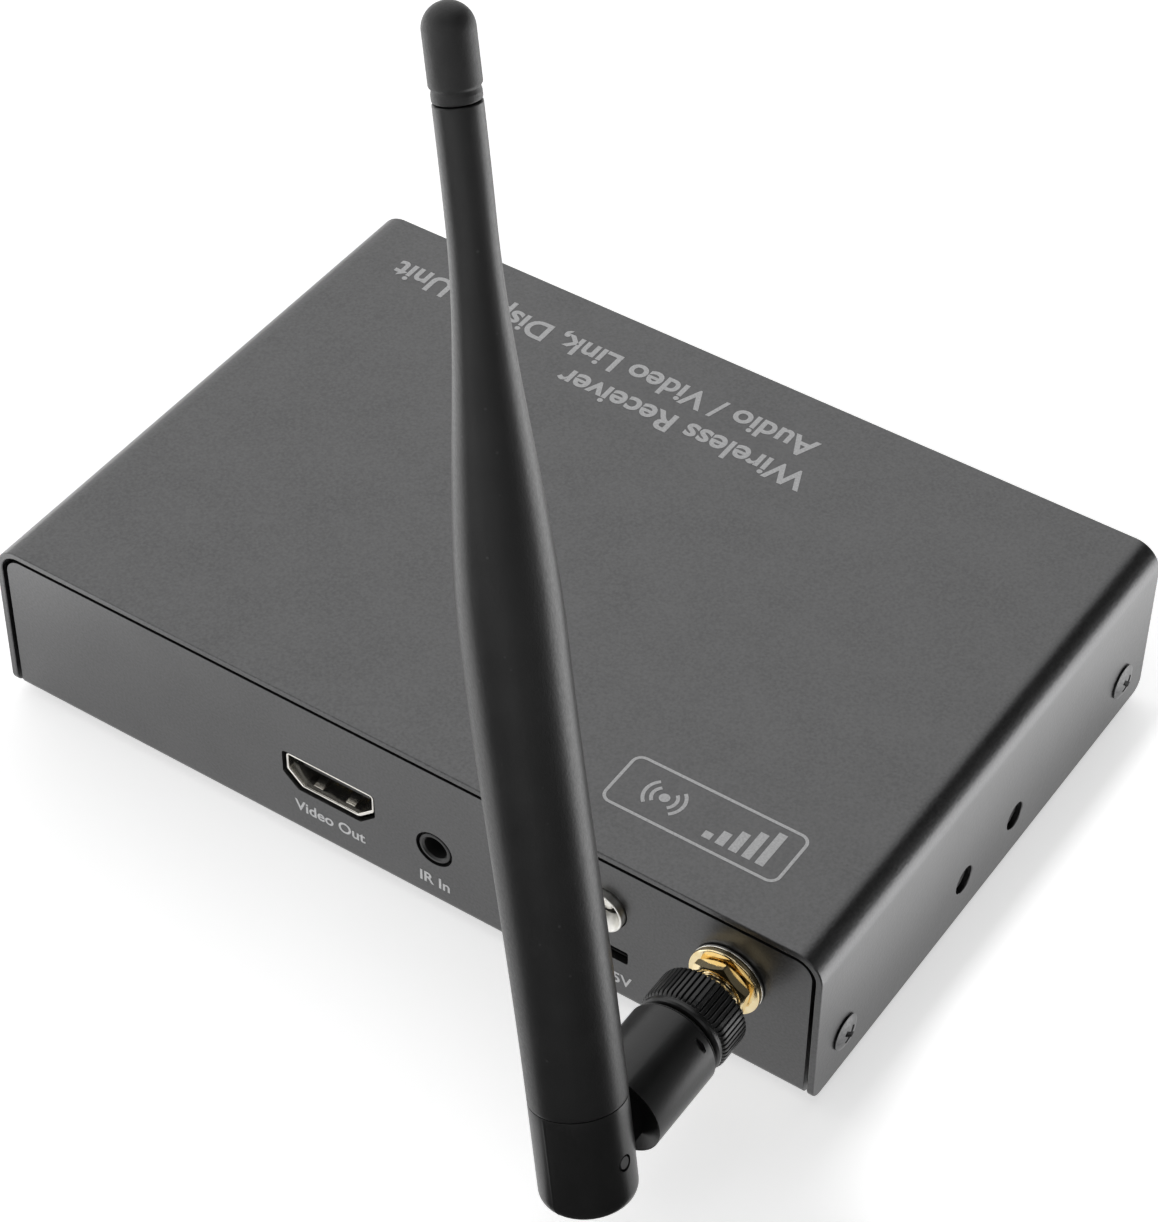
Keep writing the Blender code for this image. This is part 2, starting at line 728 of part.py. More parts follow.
def make_video_socket():
    inner_half = [half - VIDEO_WALL for half in VIDEO_SHELL_HALF]
    middle_y = VIDEO_FRONT_Y - VIDEO_LENGTH / 2
    outlines = [video_outline(*VIDEO_SHELL_HALF), video_outline(*inner_half)]
    outline_solid("video_shell", NICKEL, outlines, VIDEO_LENGTH, (VIDEO_X, middle_y, VIDEO_Z), Z_TO_MINUS_Y)
    back_half = [half - REST_GAP for half in inner_half]
    back_depth = 2 * MM
    back_y = VIDEO_FRONT_Y - VIDEO_LENGTH + back_depth / 2
    tongue = outline_solid(
        "video_tongue",
        BLACK_PLASTIC,
        [video_outline(*back_half)],
        back_depth,
        (VIDEO_X, back_y, VIDEO_Z),
        Z_TO_MINUS_Y,
    )
    tongue_half = 5.6 * MM
    blade = box(
        "video_tongue_blade",
        None,
        (VIDEO_X - tongue_half, back_y, VIDEO_Z - 0.2 * MM),
        (VIDEO_X + tongue_half, VIDEO_FRONT_Y - 1.6 * MM, VIDEO_Z + 1.0 * MM),
    )
    foot = box(
        "video_tongue_foot",
        None,
        (VIDEO_X - tongue_half, VIDEO_FRONT_Y - VIDEO_LENGTH - 1.5 * MM, PART_Z),
        (VIDEO_X + tongue_half, back_y, VIDEO_Z + 1.5 * MM),
    )
    foot_relief = box(
        "video_foot_relief",
        None,
        (VIDEO_X - 9 * MM, VIDEO_FRONT_Y - VIDEO_LENGTH - REST_GAP, PART_Z - MM),
        (VIDEO_X + 9 * MM, VIDEO_FRONT_Y, VIDEO_Z),
    )
    cut(foot, foot_relief)
    join(tongue, blade, foot)


def make_infrared_jack():
    bush_front = PANEL_Y - 0.1 * MM
    body_front = WALL_Y - REST_GAP
    body_back = body_front - 12.5 * MM
    body = box(
        "infrared_jack",
        BLACK_PLASTIC,
        (INFRARED_X - 3.2 * MM, body_back, PART_Z),
        (INFRARED_X + 3.2 * MM, body_front, INFRARED_Z + 2.9 * MM),
    )
    bush_length = bush_front - body_front + MM
    bush = cylinder(
        "infrared_bush",
        None,
        INFRARED_BUSH_R,
        bush_length,
        (INFRARED_X, bush_front - bush_length / 2, INFRARED_Z),
        Z_TO_PLUS_Y,
        steps=24,
    )
    bore = cylinder(
        "infrared_bore",
        None,
        INFRARED_BORE_R,
        2 * INFRARED_BORE_DEPTH,
        (INFRARED_X, bush_front, INFRARED_Z),
        Z_TO_PLUS_Y,
        steps=20,
    )
    join(body, bush)
    cut(body, bore)


def make_power_socket():
    """A barrel through the panel, its wider body behind, a closed back and a centre pin."""
    front = PANEL_Y + POWER_PROUD
    shoulder = WALL_Y - REST_GAP
    back_wall = 2 * MM
    shell = [
        (POWER_BARREL_R - 0.2 * MM, front),
        (POWER_BARREL_R, front - 0.3 * MM),
        (POWER_BARREL_R, shoulder),
        (POWER_BODY_R, shoulder),
        (POWER_BODY_R, POWER_BACK_Y),
        (POWER_BORE_R, POWER_BACK_Y),
        (POWER_BORE_R, front - 0.2 * MM),
        (POWER_BORE_R + 0.2 * MM, front),
    ]
    place = (POWER_X, 0, POWER_Z)
    turned("power_socket", NICKEL, shell, closed=True, location=place, rotation=Z_TO_PLUS_Y, steps=28)
    pin_r = 1.0 * MM
    core_r = POWER_BORE_R - 0.1 * MM
    pin = [
        (0, front - 1.6 * MM),
        (0.7 * pin_r, front - 1.8 * MM),
        (pin_r, front - 2.4 * MM),
        (pin_r, POWER_BACK_Y + back_wall),
        (core_r, POWER_BACK_Y + back_wall),
        (core_r, POWER_BACK_Y),
        (0, POWER_BACK_Y),
    ]
    turned("power_pin", NICKEL, pin, location=place, rotation=Z_TO_PLUS_Y, steps=SMALL_STEPS)
    for i, side in enumerate((-1, 1)):
        start = (POWER_X + side * 1.4 * MM, POWER_BACK_Y - REST_GAP, POWER_Z)
        end = (POWER_X + side * 2.4 * MM, POWER_BACK_Y - 6 * MM, PART_Z + 0.4 * MM)
        knots = [
            start,
            (start[0], start[1] - 2.4 * MM, start[2]),
            (end[0], end[1] - 0.6 * MM, (start[2] + end[2]) / 2),
            end,
        ]
        tube(f"power_lead_{i + 1}", SATIN_PLASTIC, smooth_route(knots, 3), 0.6 * MM, 1)


def rectangle(half_width, half_height):
    return [(x * half_width, y * half_height) for x, y in ((-1, -1), (1, -1), (1, 1), (-1, 1))]


def make_service_port():
    front = WALL_Y - REST_GAP
    middle = front - SERVICE_LENGTH / 2
    outlines = [rectangle(*SERVICE_SHELL_HALF), rectangle(*SERVICE_MOUTH_HALF)]
    place = (POWER_X, middle, SERVICE_Z)
    outline_solid("service_port_shell", NICKEL, outlines, SERVICE_LENGTH, place, Z_TO_MINUS_Y)
    back_half = [half - REST_GAP for half in SERVICE_MOUTH_HALF]
    back = front - SERVICE_LENGTH
    tongue = box(
        "service_port_tongue",
        BLACK_PLASTIC,
        (POWER_X - back_half[0], back, SERVICE_Z - back_half[1]),
        (POWER_X + back_half[0], back + 1.2 * MM, SERVICE_Z + back_half[1]),
    )
    blade = box(
        "service_port_blade",
        None,
        (POWER_X - 2.8 * MM, back + 0.6 * MM, SERVICE_Z),
        (POWER_X + 2.8 * MM, front - 0.6 * MM, SERVICE_Z + 0.6 * MM),
    )
    join(tongue, blade)


# Front face


def make_button():
    """A round key with a collar behind the wall, and the switch that it presses."""
    wall_inside = -WALL_Y
    front = -PANEL_Y - BUTTON_PROUD
    collar_front = wall_inside + 0.15 * MM
    collar_back = collar_front + 1.0 * MM
    back = collar_back + BUTTON_BACK
    profile = [
        (0, -front),
        (BUTTON_R - 0.4 * MM, -front),
        (BUTTON_R, -front - 0.4 * MM),
        (BUTTON_R, -collar_front),
        (BUTTON_R + 1.0 * MM, -collar_front),
        (BUTTON_R + 1.0 * MM, -collar_back),
        (BUTTON_R - 0.8 * MM, -collar_back),
        (BUTTON_R - 0.8 * MM, -back),
        (0, -back),
    ]
    place = (BUTTON_X, 0, BUTTON_Z)
    turned("pairing_button", BLACK_PLASTIC, profile, location=place, rotation=Z_TO_MINUS_Y, steps=24)
    plunger_front = back + 0.9 * MM
    body_front = plunger_front + 0.8 * MM
    switch = box(
        "pairing_switch",
        CHIP_BLACK,
        (BUTTON_X - 3 * MM, body_front, PART_Z),
        (BUTTON_X + 3 * MM, body_front + 4 * MM, BUTTON_Z + 3 * MM),
    )
    plunger = cylinder(
        "pairing_plunger",
        None,
        1.2 * MM,
        body_front - plunger_front + MM,
        (BUTTON_X, (plunger_front + body_front + MM) / 2, BUTTON_Z),
        Z_TO_PLUS_Y,
    )
    join(switch, plunger)


def make_lamps():
    pipe_front = -PANEL_Y - 0.3 * MM
    for i, x in enumerate(LAMP_X):
        profile = [
            (0, -pipe_front),
            (0.7 * LAMP_R, -pipe_front - 0.1 * MM),
            (LAMP_R, -pipe_front - 0.4 * MM),
            (LAMP_R, -pipe_front - LAMP_LENGTH),
            (0, -pipe_front - LAMP_LENGTH),
        ]
        place = (x, 0, BUTTON_Z)
        turned(f"light_pipe_{i + 1}", CLEAR, profile, False, place, Z_TO_MINUS_Y, SMALL_STEPS)
        back = pipe_front + LAMP_LENGTH + REST_GAP
        box(
            f"indicator_lamp_{i + 1}",
            WHITE,
            (x - 1.6 * MM, back, PART_Z),
            (x + 1.6 * MM, back + 2 * MM, BUTTON_Z + 1.6 * MM),
        )


# Antenna connector and coupling


def antenna_turned(name, finish, profile, closed=False, steps=ROUND_STEPS):
    """A turned piece on the antenna connector's axis, its profile's heights measured along world Y."""
    return turned(name, finish, profile, closed, (ANTENNA_X, 0, ANTENNA_Z), Z_TO_PLUS_Y, steps)


def from_panel(span):
    return [PANEL_Y + out for out in span]


def make_bulkhead():
    """A threaded barrel with a collar inside the wall, and its insulator."""
    front = PANEL_Y + BULKHEAD_OUT
    collar_front = WALL_Y - FIT_GAP
    collar_back = collar_front - 2 * MM
    tail_r = 2.2 * MM
    bore_back = PANEL_Y + 1.6 * MM
    profile = [
        (0, bore_back),
        (SOCKET_BORE_R, bore_back),
        (SOCKET_BORE_R, front),
        (THREAD_R - 0.3 * MM, front),
        (THREAD_R, front - 0.3 * MM),
        (THREAD_R, collar_front),
        (HEX_CORNER_R, collar_front),
        (HEX_CORNER_R, collar_back),
        (tail_r, collar_back),
        (tail_r, BULKHEAD_BACK_Y),
        (0, BULKHEAD_BACK_Y),
    ]
    antenna_turned("antenna_bulkhead", GOLD, profile, steps=24)
    insulator = ring(SOCKET_BORE_R - 0.15 * MM, 0.7 * MM, bore_back + REST_GAP, bore_back + 3.6 * MM)
    antenna_turned("connector_insulator", WHITE, insulator, closed=True, steps=SMALL_STEPS)


def make_bulkhead_fasteners():
    """Lock washer, flat washer and hexagon nut on the outside of the panel."""
    lock_washer = ring(WASHER_R, THREAD_HOLE_R, *from_panel(LOCK_WASHER_SPAN))
    antenna_turned("lock_washer", NICKEL, lock_washer, closed=True)
    low, high = from_panel(WASHER_SPAN)
    washer = [
        (WASHER_R - 0.15 * MM, high),
        (WASHER_R, high - 0.2 * MM),
        (WASHER_R, low),
        (THREAD_HOLE_R, low),
        (THREAD_HOLE_R, high),
    ]
    antenna_turned("bulkhead_washer", GOLD, washer, closed=True)
    low, high = from_panel(HEX_SPAN)
    hexagon = arc((0, 0), HEX_CORNER_R, HEX_TURN, HEX_TURN + 300, 5)
    middle = (ANTENNA_X, (low + high) / 2, ANTENNA_Z)
    outline_solid(
        "bulkhead_nut", GOLD, [hexagon, circle(THREAD_HOLE_R, 24)], high - low, middle, Z_TO_MINUS_Y
    )


def make_plug():
    """The antenna's plug: its contact pin in the bulkhead, its flange held by the coupling nut."""
    flange_low = PANEL_Y + BULKHEAD_OUT + REST_GAP
    flange_high = flange_low + 1.0 * MM
    tail = PANEL_Y + ELBOW_START + ELBOW_BORE_DEPTH - 0.5 * MM
    pin_r = 0.5 * MM
    pin_tip = flange_low - 3 * MM
    profile = [
        (0, tail),
        (2.4 * MM, tail),
        (2.4 * MM, flange_high),
        (3.1 * MM, flange_high),
        (3.1 * MM, flange_low),
        (pin_r, flange_low),
        (pin_r, pin_tip + 0.5 * MM),
        (0.5 * pin_r, pin_tip),
        (0, pin_tip),
    ]
    antenna_turned("antenna_plug", BRASS, profile, steps=SMALL_STEPS)


def make_coupling_nut():
    """A ring over the bulkhead and the plug's flange, ribbed outside, with a shoulder behind."""
    low = PANEL_Y + NUT_START
    high = low + NUT_LENGTH
    shoulder = high - 0.9 * MM
    flange_seat = high - NUT_REAR_WALL
    core = [
        (NUT_CORE_R - 0.6 * MM, high),
        (NUT_CORE_R, shoulder),
        (NUT_CORE_R, low),
        (THREAD_HOLE_R, low),
        (THREAD_HOLE_R, flange_seat),
        (NUT_REAR_BORE_R, flange_seat),
        (NUT_REAR_BORE_R, high),
    ]
    nut = antenna_turned("coupling_nut", BLACK_PLASTIC, core, closed=True)
    rib_low = low + 0.2 * MM
    rib_high = shoulder - 0.1 * MM
    root_r = NUT_CORE_R - 0.1 * MM
    tooth = ((0.0, root_r), (0.25, NUT_RIB_R), (0.7, NUT_RIB_R), (0.95, root_r))
    outline = []
    for i in range(NUT_RIBS):
        for share, radius in tooth:
            angle = 2 * math.pi * (i + share) / NUT_RIBS
            outline.append((radius * math.cos(angle), radius * math.sin(angle)))
    inner = circle((NUT_CORE_R + THREAD_HOLE_R) / 2, 24)
    ribs = outline_solid(
        "coupling_ribs",
        None,
        [outline, inner],
        rib_high - rib_low,
        (ANTENNA_X, (rib_low + rib_high) / 2, ANTENNA_Z),
        Z_TO_MINUS_Y,
    )
    join(nut, ribs)


# Elbow and whip


def make_elbow(swivel_frame, fold_frame):
    """A round arm along Y with a dished end, relieved for the whip that leans over it, and a tongue."""
    start = ELBOW_START - HINGE_OUT
    rim = math.degrees(math.asin(ELBOW_R / ELBOW_DISH_R))
    shoulder_centre = (ELBOW_R - ELBOW_SHOULDER / 2, start + ELBOW_SHOULDER)
    shoulder = [
        (shoulder_centre[0] + (x - shoulder_centre[0]) / 2, y)
        for x, y in arc(shoulder_centre, ELBOW_SHOULDER, 0, -90, 4)
    ]
    profile = [
        *arc((0, 0), ELBOW_DISH_R, -90, rim - 90, 6),
        *shoulder,
        (ELBOW_BORE_R, start),
        (ELBOW_BORE_R, start + ELBOW_BORE_DEPTH),
        (0, start + ELBOW_BORE_DEPTH),
    ]
    elbow = turned("antenna_elbow", BLACK_PLASTIC, profile, rotation=Z_TO_PLUS_Y, parent=swivel_frame)
    relief_length = 20 * MM
    relief = cylinder(
        "whip_relief",
        None,
        BASE_R + FIT_GAP,
        relief_length,
        (0, 0, relief_length / 2 + MM),
        steps=ROUND_STEPS,
        parent=fold_frame,
    )
    tongue_end = arc((0, 0), TONGUE_R, -90, 90, 10)
    tongue_root = [(-TONGUE_ROOT, TONGUE_R), (-TONGUE_ROOT, -TONGUE_R)]
    tongue = outline_solid(
        "elbow_tongue", None, [tongue_end + tongue_root], 2 * TONGUE_HALF, (0, 0, 0), XY_TO_YZ, swivel_frame
    )
    cut(elbow, relief)
    join(elbow, tongue)
    cut(elbow, pin_cutter("elbow_pin_hole", swivel_frame))
    pin = [
        (0, PIN_OPEN_END),
        (PIN_R - 0.2 * MM, PIN_OPEN_END),
        (PIN_R, PIN_OPEN_END - 0.2 * MM),
        (PIN_R, -PIN_BLIND_END),
        (0, -PIN_BLIND_END),
    ]
    turned("hinge_pin", BLACK_PLASTIC, pin, rotation=Z_TO_MINUS_X, steps=24, parent=swivel_frame)


def pin_cutter(name, parent):
    """The hinge pin's hole: open on the -X side, blind on the +X side."""
    low, high = -9 * MM, PIN_BLIND_END + REST_GAP
    centre = ((low + high) / 2, 0, 0)
    return cylinder(name, None, PIN_HOLE_R, high - low, centre, Z_TO_PLUS_X, steps=24, parent=parent)


def slot_cutter(parent):
    """The slot for the tongue from straight to fully folded: open below and behind, closed in front."""
    radius = TONGUE_R + TONGUE_GAP
    reach = 14 * MM
    lean = math.degrees(FOLD) - 90
    inside = arc((0, 0), radius, 0, 90 - lean, 8)
    top_y, top_z = inside[-1]
    outline = [
        *inside,
        (top_y - reach, top_z + reach * math.tan(math.radians(lean))),
        (top_y - reach, -reach),
        (radius, -reach),
    ]
    width = 2 * (TONGUE_HALF + TONGUE_GAP)
    return outline_solid("tongue_slot", None, [outline], width, (0, 0, 0), XY_TO_YZ, parent)


def blade_radius(z):
    """The whip cover's outer radius: full near the base, a smooth neck, then a slim shaft."""
    t = min(1, max(0, (z - TAPER_START) / (TAPER_END - TAPER_START)))
    ease = t * t * (3 - 2 * t)
    return BASE_R + (SHAFT_R - BASE_R) * ease


def make_whip(fold_frame):
    fillet = arc((BASE_R - BASE_FILLET, BASE_FILLET - BASE_BELOW), BASE_FILLET, 0, -90, 5)
    base_profile = [
        (0, SPIGOT_TOP),
        (SPIGOT_R, SPIGOT_TOP),
        (SPIGOT_R, BASE_TOP),
        (BASE_R, BASE_TOP),
        *fillet,
        (0, -BASE_BELOW),
    ]
    base = turned("whip_base", BLACK_PLASTIC, base_profile, parent=fold_frame)
    cut(base, slot_cutter(fold_frame), pin_cutter("base_pin_hole", fold_frame))
    make_blade(fold_frame)
    make_cap(fold_frame)
    rod_low = SPIGOT_TOP + REST_GAP
    rod = [(0, ROD_TOP), (ROD_R, ROD_TOP), (ROD_R, rod_low), (0, rod_low)]
    turned("radiator_rod", BRASS, rod, steps=12, parent=fold_frame)


def make_blade(fold_frame):
    """The whip's hollow cover, from the base's shoulder to the cap."""
    low = BASE_TOP + SEAM_GAP
    high = CAP_START - SEAM_GAP
    bore_r = SPIGOT_R + REST_GAP
    heights = [TAPER_START + (TAPER_END - TAPER_START) * i / TAPER_STEPS for i in range(TAPER_STEPS + 1)]
    outside = [(SHAFT_R, high), *((blade_radius(z), z) for z in reversed(heights)), (BASE_R, low)]
    taper_inside = [(blade_radius(z) - BLADE_WALL, z) for z in heights[::2]]
    inside = [(bore_r, low), *taper_inside, (SHAFT_R - BLADE_WALL, high)]
    turned("whip_cover", SATIN_PLASTIC, [*outside, *inside], closed=True, parent=fold_frame)


def make_cap(fold_frame):
    """A rubber tip cap with a round end and a plug into the whip cover."""
    plug_r = SHAFT_R - BLADE_WALL - 0.2 * MM
    dome = [
        (CAP_R * math.sin(t), WHIP_TOP - CAP_R + CAP_R * math.cos(t))
        for t in (math.radians(15 * i) for i in range(7))
    ]
    profile = [
        *dome,
        (CAP_R, CAP_START + 0.3 * MM),
        (CAP_R - 0.3 * MM, CAP_START),
        (plug_r, CAP_START),
        (plug_r, CAP_START - CAP_PLUG),
        (0, CAP_START - CAP_PLUG),
    ]
    turned("tip_cap", RUBBER, profile, steps=24, parent=fold_frame)


def main():
    make_cover()
    make_tray()
    make_feet()
    make_cover_screws()
    make_main_board()
    make_processor()
    make_power_parts()
    make_radio()
    make_video_socket()
    make_infrared_jack()
    make_power_socket()
    make_service_port()
    make_button()
    make_lamps()
    make_bulkhead()
    make_bulkhead_fasteners()
    make_plug()
    make_coupling_nut()
    hinge_centre = (ANTENNA_X, PANEL_Y + HINGE_OUT, ANTENNA_Z)
    swivel_frame = frame_empty("swivel_frame", hinge_centre, (0, SWIVEL, 0))
    fold_frame = frame_empty("fold_frame", (0, 0, 0), (FOLD - math.pi / 2, 0, 0), swivel_frame)
    make_elbow(swivel_frame, fold_frame)
    make_whip(fold_frame)


main()
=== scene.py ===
"""Wireless receiver unit: its fine surface, finishes, prints, light and camera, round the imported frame.

Metres, +Z up, in the frame's own axes: X is the width, +Y the connector panel. A radius is called R.
"""

import json
import math

import bmesh
import bpy
from mathutils import Matrix, Vector


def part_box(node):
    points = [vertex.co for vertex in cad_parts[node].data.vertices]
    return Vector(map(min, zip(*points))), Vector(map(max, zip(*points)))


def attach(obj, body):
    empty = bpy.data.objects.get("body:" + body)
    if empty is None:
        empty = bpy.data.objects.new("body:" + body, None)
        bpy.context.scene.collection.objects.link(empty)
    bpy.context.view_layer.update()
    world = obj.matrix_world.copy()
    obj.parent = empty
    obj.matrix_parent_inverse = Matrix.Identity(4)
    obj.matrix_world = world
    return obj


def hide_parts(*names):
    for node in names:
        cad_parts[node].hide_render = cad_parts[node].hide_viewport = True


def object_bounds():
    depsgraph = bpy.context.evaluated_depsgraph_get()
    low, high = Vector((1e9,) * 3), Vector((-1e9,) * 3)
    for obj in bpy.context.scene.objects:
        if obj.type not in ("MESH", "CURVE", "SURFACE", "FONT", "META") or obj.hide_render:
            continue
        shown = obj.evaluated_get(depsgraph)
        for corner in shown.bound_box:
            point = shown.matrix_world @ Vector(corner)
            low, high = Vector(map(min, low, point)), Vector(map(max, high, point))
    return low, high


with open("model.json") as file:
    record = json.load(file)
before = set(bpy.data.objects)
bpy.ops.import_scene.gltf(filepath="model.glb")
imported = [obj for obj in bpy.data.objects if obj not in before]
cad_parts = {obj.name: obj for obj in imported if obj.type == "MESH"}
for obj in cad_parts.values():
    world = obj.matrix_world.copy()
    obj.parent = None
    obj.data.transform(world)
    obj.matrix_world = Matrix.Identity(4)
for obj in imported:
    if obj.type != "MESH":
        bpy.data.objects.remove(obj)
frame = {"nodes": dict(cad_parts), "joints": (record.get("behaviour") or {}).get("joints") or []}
CAD_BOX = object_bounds()

MM = 0.001
NODES = frame["nodes"]
JOINTS = {joint["name"]: joint for joint in frame["joints"]}
COVER_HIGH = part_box("top_cover")[1]
TRAY_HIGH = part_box("base_tray")[1]

# The sheet-metal case
SHEET = 1.0 * MM
COVER_BEND_R = 4.2 * MM
COVER_CORNER_R = 2.0 * MM
TRAY_BEND_R = 1.5 * MM
COLLAR_GAP = 0.3 * MM
FOOT_SEAT_R = 4.8 * MM
FOOT_SEAT_DEPTH = 0.3 * MM
FLANGE_HEIGHT = 11 * MM
FLANGE_HALF = 41.5 * MM
PANEL_Y = TRAY_HIGH.y
BRACKET_Y = 7 * MM
BRACKET_R = 2.1 * MM
SCREW_HOLE_R = 1.7 * MM
TRAY_HOLE_R = 1.55 * MM
SOFT_COVER_EDGE = 0.2 * MM
SOFT_TRAY_EDGE = 0.12 * MM

# Openings in the connector panel and the front wall, each a gap wider than what it holds
VIDEO_HALF_SIZE = (7.75 * MM, 3.2 * MM)
VIDEO_CHAMFER = (2.5 * MM, 2.3 * MM)
SERVICE_HALF_SIZE = (3.85 * MM, 1.15 * MM)
INFRARED_HOLE_R = 2.95 * MM
INFRARED_Z = 10.6 * MM
POWER_HOLE_R = 3.55 * MM
ANTENNA_HOLE_R = 3.4 * MM
BUTTON_HOLE_R = 2.6 * MM
LAMP_HOLE_R = 1.7 * MM

# The antenna's axes, from its two joints
HINGE = Vector(JOINTS["antenna_swivel"]["pos_m"])
PIN_AXIS = Vector(JOINTS["antenna_fold"]["axis"])
LEAN = math.radians(-JOINTS["antenna_fold"]["range_deg"][0] - 90)
OUT = Vector((0, 1, 0))
UP_ARM = PIN_AXIS.cross(OUT)
WHIP_SIDE = math.cos(LEAN) * OUT + math.sin(LEAN) * UP_ARM
WHIP_AXIS = math.cos(LEAN) * UP_ARM - math.sin(LEAN) * OUT

ROUND = 96
FINE_EDGE = 0.15 * MM
SMOOTH_ANGLE = math.radians(32)
STRAIGHT = 0.001


# Matrices


def axes(origin, x, y, z):
    """The matrix that places local X, Y and Z along the given directions."""
    turn = Matrix((x, y, z)).transposed().to_4x4()
    return Matrix.Translation(origin) @ turn


X, Y, Z = Vector((1, 0, 0)), Vector((0, 1, 0)), Vector((0, 0, 1))


def out_of_panel(x, z):
    """Local Z along world +Y, so heights are world Y."""
    return axes((x, 0, z), X, -Z, Y)


def out_of_front(x, z):
    return axes((x, 0, z), X, Z, -Y)


def flat_out(x, z, y):
    """Local X along world X, local Y up and local Z towards the front: for outlines drawn on the panel."""
    return axes((x, y, z), X, Z, -Y)


ARM = axes(HINGE, PIN_AXIS, -UP_ARM, OUT)
WHIP = axes(HINGE, PIN_AXIS, WHIP_SIDE, WHIP_AXIS)
ANTENNA = out_of_panel(HINGE.x, HINGE.z)


def middle_of(node):
    low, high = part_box(node)
    return (low + high) / 2


# Mesh helpers


def add_object(name, mesh, matrix=Matrix()):
    made = bpy.data.objects.new(name, mesh)
    bpy.context.scene.collection.objects.link(made)
    made.matrix_world = matrix
    return made


def mesh_of(name, shape, smooth=True):
    bmesh.ops.recalc_face_normals(shape, faces=shape.faces)
    mesh = bpy.data.meshes.new(name)
    shape.to_mesh(mesh)
    shape.free()
    if smooth:
        mesh.shade_smooth()
        mesh.set_sharp_from_angle(angle=SMOOTH_ANGLE)
    return mesh


def bridge(shape, low, high):
    """Faces between two rings, either of which may be a single point."""
    count = max(len(low), len(high))
    if count == 1:
        return
    for i in range(count):
        j = i + 1
        corners = [low[i % len(low)], low[j % len(low)], high[j % len(high)], high[i % len(high)]]
        shape.faces.new([corner for k, corner in enumerate(corners) if corner not in corners[:k]])


def round_form(radius, height, angle):
    return Vector((radius * math.cos(angle), radius * math.sin(angle), height))


def turned(name, profile, matrix=Matrix(), closed=False, steps=ROUND, form=round_form):
    """A profile of (radius, height) points turned about local Z. The form places each point."""
    shape = bmesh.new()
    rings = []
    for radius, height in profile:
        turns = 1 if radius < 0.001 * MM else steps
        rings.append([shape.verts.new(form(radius, height, math.tau * i / steps)) for i in range(turns)])
    for low, high in zip(rings, rings[1:] + (rings[:1] if closed else [])):
        bridge(shape, low, high)
    return add_object(name, mesh_of(name, shape), matrix)


def lofted(name, rings, matrix=Matrix(), closed=False):
    """Faces between rings of points. Open lofts get a face at each end."""
    shape = bmesh.new()
    made = [[shape.verts.new(point) for point in ring] for ring in rings]
    for low, high in zip(made, made[1:] + (made[:1] if closed else [])):
        bridge(shape, low, high)
    if not closed:
        shape.faces.new(made[0])
        shape.faces.new(made[-1])
    return add_object(name, mesh_of(name, shape), matrix)


def prism(name, outline, depth, matrix=Matrix()):
    """A flat outline made solid, half its depth to each side of local Z = 0."""
    rings = [[(x, y, side * depth / 2) for x, y in outline] for side in (-1, 1)]
    return lofted(name, rings, matrix)


def arc(centre, radius, start, end, steps):
    """Points on an arc, angles in degrees."""
    angles = [math.radians(start + (end - start) * i / steps) for i in range(steps + 1)]
    return [(centre[0] + radius * math.cos(a), centre[1] + radius * math.sin(a)) for a in angles]


def rectangle(half_width, half_height):
    return [(x * half_width, y * half_height) for x, y in ((-1, -1), (1, -1), (1, 1), (-1, 1))]


def circle(radius, steps=ROUND):
    return arc((0, 0), radius, 0, 360 * (1 - 1 / steps), steps - 1)


def rounded(points, radii, steps=4, closed=False):
    """The path with an arc at each corner. One radius serves all corners, or a list gives each its own."""
    count = len(points)
    if not isinstance(radii, (list, tuple)):
        radii = [radii] * count
    path = []
    for i, (point, radius) in enumerate(zip(points, radii)):
        at_end = not closed and i in (0, count - 1)
        if at_end or radius <= 0:
            path.append(tuple(point))
            continue
        here = Vector(point)
        back = Vector(points[i - 1]) - here
        ahead = Vector(points[(i + 1) % count]) - here
        half = back.angle(ahead) / 2
        if math.pi / 2 - half < STRAIGHT:
            path.append(tuple(point))
            continue
        reach = min(radius / math.tan(half), 0.49 * back.length, 0.49 * ahead.length)
        first, last = here + back.normalized() * reach, here + ahead.normalized() * reach
        centre = here + (back.normalized() + ahead.normalized()).normalized() * reach / math.cos(half)
        start, stop = first - centre, last - centre
        sweep = start.angle(stop)
        for k in range(steps + 1):
            share = k / steps
            spoke = start * math.sin((1 - share) * sweep) + stop * math.sin(share * sweep)
            path.append(tuple(centre + spoke / math.sin(sweep)))
    return path


def rounded_box(name, low, high, edge, matrix=Matrix()):
    shape = bmesh.new()
    bmesh.ops.create_cube(shape, size=1)
    bmesh.ops.scale(shape, vec=[b - a for a, b in zip(low, high)], verts=shape.verts)
    bmesh.ops.translate(shape, vec=[(a + b) / 2 for a, b in zip(low, high)], verts=shape.verts)
    if edge:
        bmesh.ops.bevel(shape, geom=shape.edges[:], offset=edge, segments=3, profile=0.5, affect="EDGES")
    return add_object(name, mesh_of(name, shape), matrix)


def settle(piece):
    """Give the piece the mesh that its modifiers make of it."""
    bpy.context.view_layer.update()
    seen = piece.evaluated_get(bpy.context.evaluated_depsgraph_get())
    mesh = bpy.data.meshes.new_from_object(seen)
    piece.modifiers.clear()
    piece.data = mesh
    mesh.name = piece.name


def combine(piece, operation, *tools):
    for tool in tools:
        change = piece.modifiers.new(tool.name, "BOOLEAN")
        change.operation = operation
        change.solver = "EXACT"
        change.object = tool
    settle(piece)
    for tool in tools:
        bpy.data.objects.remove(tool, do_unlink=True)
    piece.data.shade_smooth()
    piece.data.set_sharp_from_angle(angle=SMOOTH_ANGLE)


def cut(piece, *tools):
    combine(piece, "DIFFERENCE", *tools)


def join(piece, *tools):
    combine(piece, "UNION", *tools)


